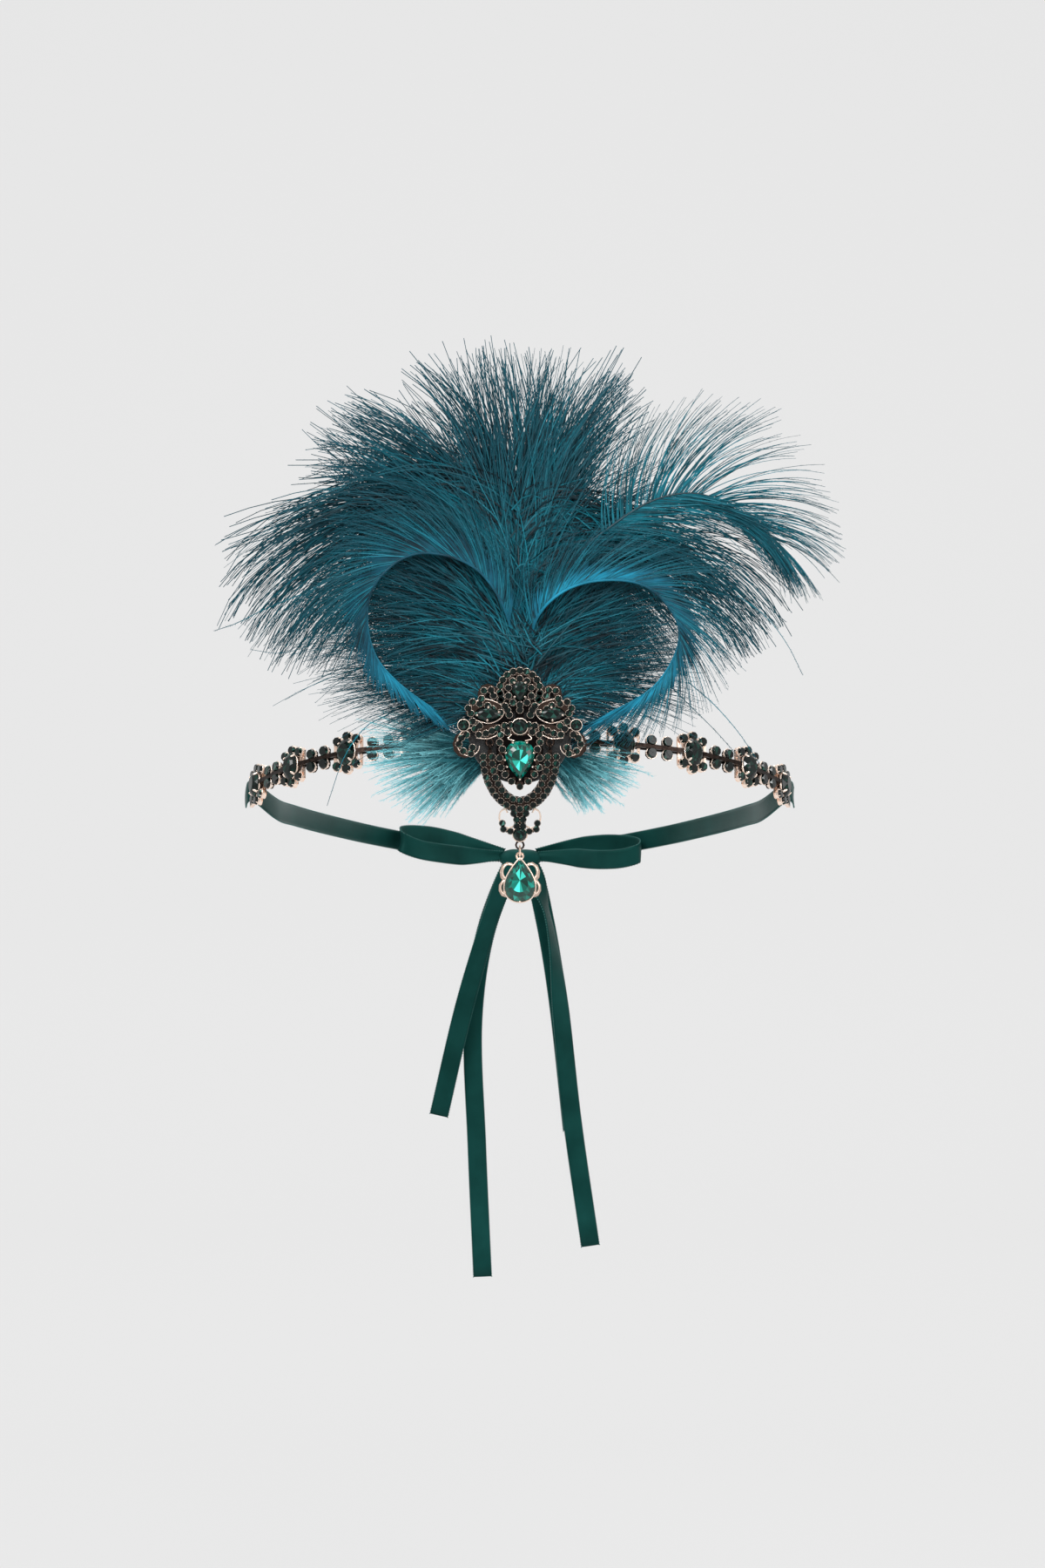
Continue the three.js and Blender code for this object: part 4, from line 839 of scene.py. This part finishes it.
def barbs_along(stem, first, last, count, hand, length, open_angle, close_angle, droop, jitter=0.4):
    """Starts, handles and tips of barbs on one side of a stem, opening from its root to its end."""
    spots = np.sort(barb_seed.uniform(first, last, count))
    reach = spots * (len(stem) - 1)
    low = np.minimum(reach.astype(int), len(stem) - 2)
    share = (reach - low)[:, None]
    start = stem[low] * (1 - share) + stem[low + 1] * share
    run = unit_rows(np.gradient(stem, axis=0))[low]
    progress = (spots - first) / (last - first)
    opening = open_angle + (close_angle - open_angle) * progress + barb_seed.normal(0, 4, count)
    set_off = np.arctan2(run[:, 0], run[:, 2]) + hand * np.radians(opening)
    swell = 0.55 + 0.45 * np.sin(math.pi * (0.15 + 0.8 * progress))
    size = (length * swell * barb_seed.uniform(0.82, 1.05, count))[:, None]
    arrive = set_off + np.radians(droop) + barb_seed.normal(0, 0.1, count)
    tip = start + heading_way((set_off + arrive) / 2) * size
    tip[:, 1] += barb_seed.normal(0, jitter * 2, count)
    return start, start + heading_way(set_off) * size * 0.36, tip - heading_way(arrive) * size * 0.34, tip


upper = barbs_along(droop_stem, 0.4, 0.98, 190, -1, 34, 62, 28, 36)
lower_side = barbs_along(droop_stem, 0.3, 1.0, 380, 1, 30, 44, 8, 16)
paths = bezier_paths(*[np.vstack([a, b]) for a, b in zip(upper, lower_side)], 9)
feather_piece("plume_drooping_feather", "plume", paths, 0.34, 0.1, barb_seed.uniform(0.1, 1, len(paths)), ostrich,
              barbules=24, barbule_length=0.9)

# Down in the hollows of the curls: short dark barbs that fan out of the brooch's top edge.


def fan_paths(count, foot, first, last, near, far, level, depth, bend, spread=1.5, fall=0.0):
    """Barbs from around foot (x, z), between angles first and last, bending outwards by about bend degrees."""
    angles = np.radians(barb_seed.uniform(first, last, count))
    size = barb_seed.uniform(near, far, count) * (1 - fall * np.clip((np.abs(angles) - 1.7) / 0.8, 0, 1))
    around = [barb_seed.normal(0, spread, count), np.zeros(count), barb_seed.normal(0, spread, count)]
    start = np.array((foot[0], 0, foot[1])) + np.column_stack(around)
    start[:, 1] = -level + barb_seed.uniform(-depth, depth, count) / 2
    turn = np.radians(bend) * np.sign(angles) * barb_seed.uniform(0.4, 1.3, count)
    tip = start + heading_way(angles + turn * 0.5) * size[:, None]
    tip[:, 1] = -level + barb_seed.uniform(-depth, depth, count)
    first_handle = start + heading_way(angles) * size[:, None] * 0.4
    second_handle = tip - heading_way(angles + turn) * size[:, None] * 0.35
    return bezier_paths(start, first_handle, second_handle, tip, 8)


down_paths = np.vstack([
    fan_paths(1450, (-6, 33), -84, -6, 24, 47, 101.6, 1.6, 34, spread=2.8),
    fan_paths(380, (-6, 31), -106, -78, 14, 31, 101.2, 1.2, 16, spread=2.6),
    fan_paths(240, (6, 31), 80, 102, 12, 26, 101.2, 1.2, 16, spread=2.6),
    fan_paths(1100, (6, 33), 8, 84, 20, 43, 101.6, 1.6, 34, spread=2.8),
])
down_tones = barb_seed.random(len(down_paths)) ** 1.9 * 0.9
feather_piece("plume_hollow_down", "plume", down_paths, 0.3, 0.1, down_tones, ostrich, barbules=30,
              barbule_length=0.9, barbule_from=0.1)

# A few locks fall forward over the curls
over_paths = np.vstack([
    fan_paths(330, (-2, 44), -82, -4, 30, 62, 103.4, 2.6, 46, spread=3.4),
    fan_paths(170, (3, 44), 6, 70, 22, 48, 103.0, 2.0, 40, spread=3.0),
])
over_tones = barb_seed.random(len(over_paths)) ** 1.5 * 0.8
feather_piece("plume_over_curls", "plume", over_paths, 0.36, 0.1, over_tones, ostrich, barbules=44,
              barbule_length=1.1, barbule_from=0.1)

# Single strays: barbs that have worked loose at both sides, and one pale stripped quill over the left links
stray_rows = [
    [(38, 38), (46, 30), (54, 22), (61, 14)], [(46, 36), (53, 30), (60, 22), (66, 13)],
    [(-60, 60), (-70, 56), (-78, 52), (-84, 50)], [(-36, 27), (-42, 24), (-48, 16), (-53, 2)],
    [(-40, 58), (-56, 47), (-66, 44), (-74, 45)], [(60, 60), (68, 54), (74, 46), (78, 38)],
]
strays = np.array([smooth_course([(x, 0, z) for x, z in row], 10) for row in stray_rows])
strays[:, :, 1] = -104 + 1.5 * np.arange(len(stray_rows))[:, None]
feather_piece("plume_strays", "plume", strays, 0.34, 0.14, np.array([0.5, 0.7, 0.6, 1.0, 0.5, 0.6]), ostrich,
              barbules=60, barbule_length=1.2, barbule_from=0.1)

# Curled feathers: two stripped and curled goose feathers in bright teal blue, bent round to meet behind
# the brooch. The vane is narrow and smooth beside the quill, with long loose barbs outside it.
goose_dye = ((0.001, 0.018, 0.03), (0.01, 0.26, 0.41), (0.003, 0.07, 0.11))
loose_dye = ((0.001, 0.014, 0.022), (0.008, 0.18, 0.25), (0.002, 0.06, 0.085))
goose = (feather_material("goose_blue", *goose_dye, 0.6, 0.38, 0.15), "goose")
loose_goose = (feather_material("goose_dark", *loose_dye, 0.5, 0.5, 0.1), "goose")
curl_width, curl_height, curl_foot = 43, 50, 23.5
brooch_half = 17.9
curl_steps, vane_count, loose_count = 72, 760, 300
curl_rows = {
    "left": [(-0.06, 0.08), (-0.06, 0.55), (-0.29, 0.87), (-0.68, 0.94), (-0.94, 0.74), (-0.92, 0.4), (-0.6, 0.13),
             (-0.22, -0.02)],
    "right": [(0.1, 0.1), (0.1, 0.58), (0.35, 0.77), (0.79, 0.77), (1.01, 0.53), (0.87, 0.24), (0.42, 0.02),
              (0.23, -0.06)],
}
curl_shades = {    # shares of the way along the quill, and the vane's tone there
    "left": ([0, 0.1, 0.2, 0.3, 0.42, 0.64, 0.74, 0.9, 1], [0.95, 0.7, 0.35, 0.2, 0.08, 0.12, 0.7, 1.0, 0.9]),
    "right": ([0, 0.1, 0.2, 0.36, 0.44, 0.58, 0.7, 0.9, 1], [0.3, 0.4, 1.0, 0.8, 0.2, 0.25, 0.75, 1.0, 0.9]),
}
for word, hand, loose_end in (("left", -1, 0.64), ("right", 1, 0.82)):
    flat = smooth_course([(x * curl_width, 0, curl_foot + up * curl_height) for x, up in curl_rows[word]], curl_steps)
    clear = np.hypot(flat[:, 0], flat[:, 2] - pad_level) - brooch_half - 2.5
    ease = np.clip(clear / brooch_half, 0, 1)
    flat[:, 1] = -(100.7 + 7 * ease * ease * (3 - 2 * ease))
    quill = build(f"curl_quill_{word}", [tube(flat, np.linspace(0.4, 0.2, curl_steps + 1))], goose[0], "headband",
                  smooth=True)
    quill_tones = np.repeat(np.interp(np.linspace(0, 1, curl_steps + 1), *curl_shades[word]), 6) * 0.8
    for label, values in (("tone", quill_tones), ("along", np.zeros(len(quill_tones)))):
        quill.data.attributes.new(label, "FLOAT", "POINT").data.foreach_set("value", values)
    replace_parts(quill, f"curled_feather_{word}")
    vane_paths = bezier_paths(*barbs_along(flat, 0.02, 0.995, vane_count, -hand, 10.5, 19, 15, 6, jitter=0.05), 6)
    vane_tones = np.interp(np.linspace(0.02, 0.995, vane_count), *curl_shades[word])
    vane_tones = np.clip(vane_tones * barb_seed.uniform(0.55, 1.1, vane_count), 0, 1)
    feather_piece(f"curl_vane_{word}", f"curled_feather_{word}", vane_paths, 0.5, 0.14, vane_tones, goose, facing=0.06)
    loose = barbs_along(flat, 0.1, loose_end, loose_count, -hand, 24, 30, 24, hand * 20, jitter=0.9)
    feather_piece(f"curl_barbs_{word}", f"curled_feather_{word}", bezier_paths(*loose, 8), 0.26, 0.08,
                  barb_seed.random(loose_count), loose_goose, barbules=14, barbule_length=1.4)

# Marabou: soft pale teal down tied in behind the pad, fanning out below the brooch with paler tips.
marabou_dye = ((0.004, 0.04, 0.052), (0.03, 0.2, 0.24), (0.2, 0.56, 0.62))
marabou = (feather_material("marabou_teal", *marabou_dye, 0.5, 0.7, 0.15), "marabou")
tufts = {"left": (400, (-9, 16.5), -138, -60, 16, 34), "right": (230, (9, 15.5), 88, 143, 12, 26)}
for word, tuft in tufts.items():
    paths = fan_paths(*tuft, 99.6, 1.4, 14, spread=1.6, fall=0.35)
    feather_piece(f"marabou_tuft_{word}", f"marabou_{word}", paths, 0.4, 0.12, barb_seed.random(tuft[0]) ** 1.3,
                  marabou, barbules=70, barbule_length=2.2, barbule_from=0.3, barbule_width=0.07)

# Brooch: rose gold openwork crest, its rows set with small dark stones in round cells. The seats below are
# measured on the brooch's left half, in millimetres from its middle round stone, and mirrored.
brooch_level = 23.7
brooch_centre = offset(z=brooch_level)
half_rows = [
    (-9.8, 9.8), (-7.9, 10.0), (-7.2, 8.4), (-10.5, 7.6), (-5.3, 8.8), (-5.3, 7.1), (-13.4, 3.6), (-14.1, 5.0),
    (-12.9, 6.7), (-11.0, 6.2), (-8.8, 5.7), (-7.4, 4.8), (-5.3, 3.8), (-3.4, 4.5), (-12.9, 1.4), (-11.0, 0.2),
    (-12.3, -0.6), (-4.1, 5.6), (-2.9, 3.2), (-11.2, -2.2), (-9.3, -1.9), (-7.6, -1.2), (-6.0, -0.5), (-4.1, 0.2),
    (-2.4, 0.4), (-5.3, -2.2), (-3.4, -1.5), (-5.5, -4.3), (-14.6, -2.2), (-16.0, -3.1), (-16.7, -4.8),
    (-15.5, -6.7), (-13.4, -7.4), (-12.9, -5.7),
]
crest_arc = [math.radians(a) for a in np.linspace(-25, 205, 13)]
crest_ring = np.linspace(-math.pi / 2, 1.5 * math.pi, 11)[:-1]
rows = [(sign * x, z) for x, z in half_rows for sign in (-1, 1)] + [(0.0, 4.5)]
rows += [(5.5 * math.cos(a), 9.8 + 5.5 * math.sin(a)) for a in crest_arc]
rows += [(3.3 * math.cos(a), 9.5 + 3.6 * math.sin(a)) for a in crest_ring]
pear_halo = [(-4.8, -6.2), (-5.5, -8.6), (-5.2, -11.2), (-4.0, -13.1), (-2.3, -15.0)]
halo = [(sign * x, z) for x, z in pear_halo for sign in (-1, 1)] + [(0.0, -16.4)]
pave = [brooch_centre @ offset(x, -level, z) @ FRONT for spots, level in ((rows, 105.15), (halo, 105.3))
        for x, z in spots]
small_stones("brooch_small_stones", raised(pave, 0.24, 0.97, 1.0), "headband")
cells = copies(cup, raised(pave, 0.1, 0.92, 1.35))
cell_rims = copies(thin_rim, raised(pave, 0.14, 0.95, 1.5))
build("brooch_cells", [cells, cell_rims], painted_highlight_gold, "headband")


def wire(points, radius):
    course = smooth_course(points, max(8, 5 * len(points)))
    return tube(course, [radius] * len(course))


def spiral(x, z, start, end, first, last, level, steps, squash=1.0):
    spots = []
    for step in range(steps + 1):
        share = step / steps
        angle = math.radians(first + (last - first) * share)
        radius = start + (end - start) * share
        spots.append((x + radius * math.cos(angle) * squash, -level, z + radius * math.sin(angle)))
    return spots


cast_courses = [
    spiral(-13.4, brooch_level - 4.9, 4.6, 2.4, 75, 350, 105.1, 16),
    [(-3.6, -105.2, 28.4), (-6.5, -105.3, 30.4), (-10.5, -105.2, 31.2), (-13.9, -105.1, 28.8), (-14.2, -105.1, 26.6)],
    [(-12.0, -105.2, 25.4), (-8.2, -105.3, 24.6), (-5.2, -105.3, 26.0), (-4.2, -105.3, 27.6)],
    [(-11.9, -105.2, 20.6), (-8.6, -105.3, 20.4), (-5.6, -105.3, 21.6), (-2.6, -105.3, 22.4)],
    [(-2.2, -105.6, 21.6), (-3.2, -106.0, 20.4), (-1.4, -106.1, 19.8)],
]
cast_wires = [wire([(-sign * x, y, z) for x, y, z in points], 0.14) for sign in (-1, 1) for points in cast_courses]
build("brooch_wires", cast_wires, painted_highlight_gold, "headband", smooth=True)


def pear(width, length, count):
    angles = [2 * math.pi * step / count for step in range(count)]
    return [(width / 2 / 0.77 * math.sin(a) * math.sin(a / 2), length / 2 * math.cos(a)) for a in angles]


def navette(length, height, count):
    angles = [2 * math.pi * step / count for step in range(count)]
    return [(length / 2 * math.cos(a), height / 2 * math.sin(a) * abs(math.sin(a)) ** 0.5) for a in angles]


# Facet tones of the emeralds are painted reflections, brightest at the top of the ramp
emerald_painted_glint_stops = [(0.0, (0.0, 0.016, 0.012)), (0.4, (0.0, 0.075, 0.052)), (0.75, (0.0, 0.24, 0.18)),
                 (1.0, (0.08, 0.85, 0.72))]
emerald = (facet_material("emerald_glass", emerald_painted_glint_stops, 0.05, 0.5), "emerald_stone", 0.05)
dark_painted_reflections = [0.2, 0.8, 0.1, 0.5, 0.92, 0.15]
emerald_painted_reflections = [0.7, 0.45, 0.95, 1.0, 0.3, 0.88, 0.2, 0.1, 0.45, 0.8, 1.0, 0.6]
set_stone("brooch_emerald", "brooch_pear", "headband", brooch_centre @ offset(z=-9.31), pear(8.1, -10.7, 20), 104.05,
          3.1, emerald, emerald_painted_reflections, 0.8)
brooch_stones = [    # name, node, outline, x, z, depth, brightest facet
    ("crest", "cap_pear", pear(4.475, -5.37, 14), 0, 9.58, 1.6, 0.9),
    ("middle", "round_center", oval(2.15, 2.15, 14), 0, 0, 1.8, 0.9),
]
for sign, word in ((-1, "left"), (1, "right")):
    brooch_stones.append(("leaf", f"navette_{word}", navette(7.16, 3.76, 14), sign * 8.77, 3.4, 1.6, 1.0))
    brooch_stones.append(("side", f"round_{word}", oval(1.52, 1.52, 12), sign * 15.39, 0.36, 1.4, 0.9))
for name, node, outline, x, z, depth, high in brooch_stones:
    ending = f"_{node.split('_')[1]}" if name in ("leaf", "side") else ""
    set_stone(f"brooch_{name}_stone{ending}", f"brooch_{node}", "headband", brooch_centre @ offset(x, 0, z), outline,
              105.4, depth, dark, dark_painted_reflections, high)


def claw(place, turn, lean):
    """A small prong, turned about the line of sight and leaned over its stone."""
    return sized(place @ FRONT @ (turned(turn, "Z") @ turned(lean, "Y")), 0.26, 0.36, 0.8)


# Bezels and prongs of the brooch's main stones, soldered to the crest
bezel_rows = ((0, 0, 2.2, 105.6, 2.6), (-15.39, 0.36, 1.6, 105.5, 2.2), (15.39, 0.36, 1.6, 105.5, 2.2))
bezels = [sized(brooch_centre @ offset(x, -level, z) @ FRONT, half, half, tall)
          for x, z, half, level, tall in bezel_rows]
grip_rows = [
    (-3.9, -7.3, 30), (3.9, -7.3, 150), (-3.6, -11.0, -30), (3.6, -11.0, 210), (0, -14.6, 90), (-2.0, -4.3, -60),
    (2.0, -4.3, 240), (-4.2, -9.2, 0), (4.2, -9.2, 180), (-1.6, 12.0, -40), (1.6, 12.0, 220), (-1.5, 8.0, 40),
    (1.5, 8.0, 140), (-5.6, 3.9, 160), (5.6, 3.9, 20), (-11.8, 3.1, -10), (11.8, 3.1, 190), (-8.6, 5.3, -90),
    (8.6, 5.3, -90), (-8.9, 1.6, 90), (8.9, 1.6, 90),
]
grips = [claw(brooch_centre @ offset(x, -106.3 if z > -2 else -105.7, z), turn, 24) for x, z, turn in grip_rows]
build("brooch_prongs", [copies(rim, bezels), copies(prong, grips)], painted_highlight_gold, "headband", smooth=True)

# Swag: a doubled row of small stones in a U, with a fleur below it and a round stone at its foot.
# It hangs by two loops in the brooch's eyes.
hang_depth = 104.74988
hinge = offset(0, -hang_depth, 18.354)
row_pitch = 1.9
foot_level = -24.1


def swag_row(half, depth):
    angles = np.linspace(0, math.pi, 61)
    return np.column_stack([-half * np.cos(angles), -2.9 - depth * np.sin(angles)])


def evenly(points, pitch):
    lengths = course_lengths(points)
    spots = np.linspace(0, lengths[-1], round(lengths[-1] / pitch) + 1)
    return [tuple(point_at(points, lengths, at)) for at in spots]


fleur = [(0.17, 0.18), (0.09, 0.42), (0.09, 0.68), (0.48, 0.56), (0.45, 0.8), (0.26, 0.88)]
swag_spots = evenly(swag_row(10, 14.3), row_pitch) + evenly(swag_row(7.6, 11.9), row_pitch)
swag_spots += [(hand * side * 10, -17.2 - down * 6.9) for side, down in fleur for hand in (-1, 1)]
swag_places = [hinge @ offset(x, -0.25, z) @ FRONT for x, z in swag_spots]
small_stones("swag_small_stones", raised(swag_places, 0.18, 0.98, 1.6), "hanging_swag")
swag_rims = copies(thin_rim, raised(swag_places, 0.04, 0.94, 1.6))
swag_cups = copies(cup, raised(swag_places, 0, 0.9, 0.6))
bezel = copies(rim, [sized(hinge @ offset(0, -0.6, foot_level) @ FRONT, 2.0, 2.0, 2.2)])
curl_course = [(1.2, -104.6, -3.2), (2.9, -104.7, -4.0), (4.6, -104.7, -3.4), (5.6, -104.7, -1.6), (5.2, -104.7, 0.5),
               (4.0, -104.7, 1.1), (3.4, -104.7, 0.1)]
curl_wires = [wire([(hand * x, y, z) for x, y, z in curl_course], 0.24) for hand in (-1, 1)]
build("swag_cups", [swag_cups, swag_rims, bezel] + curl_wires, painted_highlight_gold, "hanging_swag")
set_stone("swag_foot_stone", "swag_round", "hanging_swag", hinge @ offset(z=foot_level), oval(1.9, 1.9, 14), 0.25, 1.9,
          dark, dark_painted_reflections)

# Drop: a pear-cut emerald glass in a gold setting with two scrolls at each side, hung from a small ring.
ring_level = -11.666
drop_hang = offset(0, -hang_depth, ring_level)
drop_width, drop_length = 8.1, 11.5
drop_middle = -0.84 - drop_length / 2
set_stone("drop_emerald", "drop_pear", "hanging_drop", drop_hang @ offset(z=drop_middle),
          pear(drop_width, drop_length, 20), 0.55, 3.1, emerald, emerald_painted_reflections[4:] + emerald_painted_reflections[:4], 0.8)
stone_level = ring_level + drop_middle
scrolls = []
for hand in (-1, 1):
    for x, z, start, end, first, last in ((3.2, 1.84, 2.7, 1.5, 125, -75), (3.8, -2.3, 2.3, 1.3, 100, -110)):
        points = spiral(x, stone_level + z, start, end, first, last, 104.9, 14, 0.78)
        scrolls.append(wire([(hand * x, y, z) for x, y, z in points], 0.25))
rim_course = [(x * 1.06, -hang_depth - 0.75, stone_level + z * 1.05) for x, z in pear(drop_width, drop_length, 40)]
rim_course.append(rim_course[0])
scrolls.append(tube(np.array(rim_course), [0.27] * len(rim_course)))
grip_rows = ((-3.6, -3.2, 40), (3.6, -3.2, 140), (-1.7, 2.8, -20), (1.7, 2.8, 200), (0, -5.9, 90), (0, 5.6, -90))
grips = [claw(drop_hang @ offset(x, -1.5, drop_middle + z), turn, 20) for x, z, turn in grip_rows]
build("drop_scrolls", scrolls + [copies(prong, grips)], painted_highlight_gold, "hanging_drop", smooth=True)
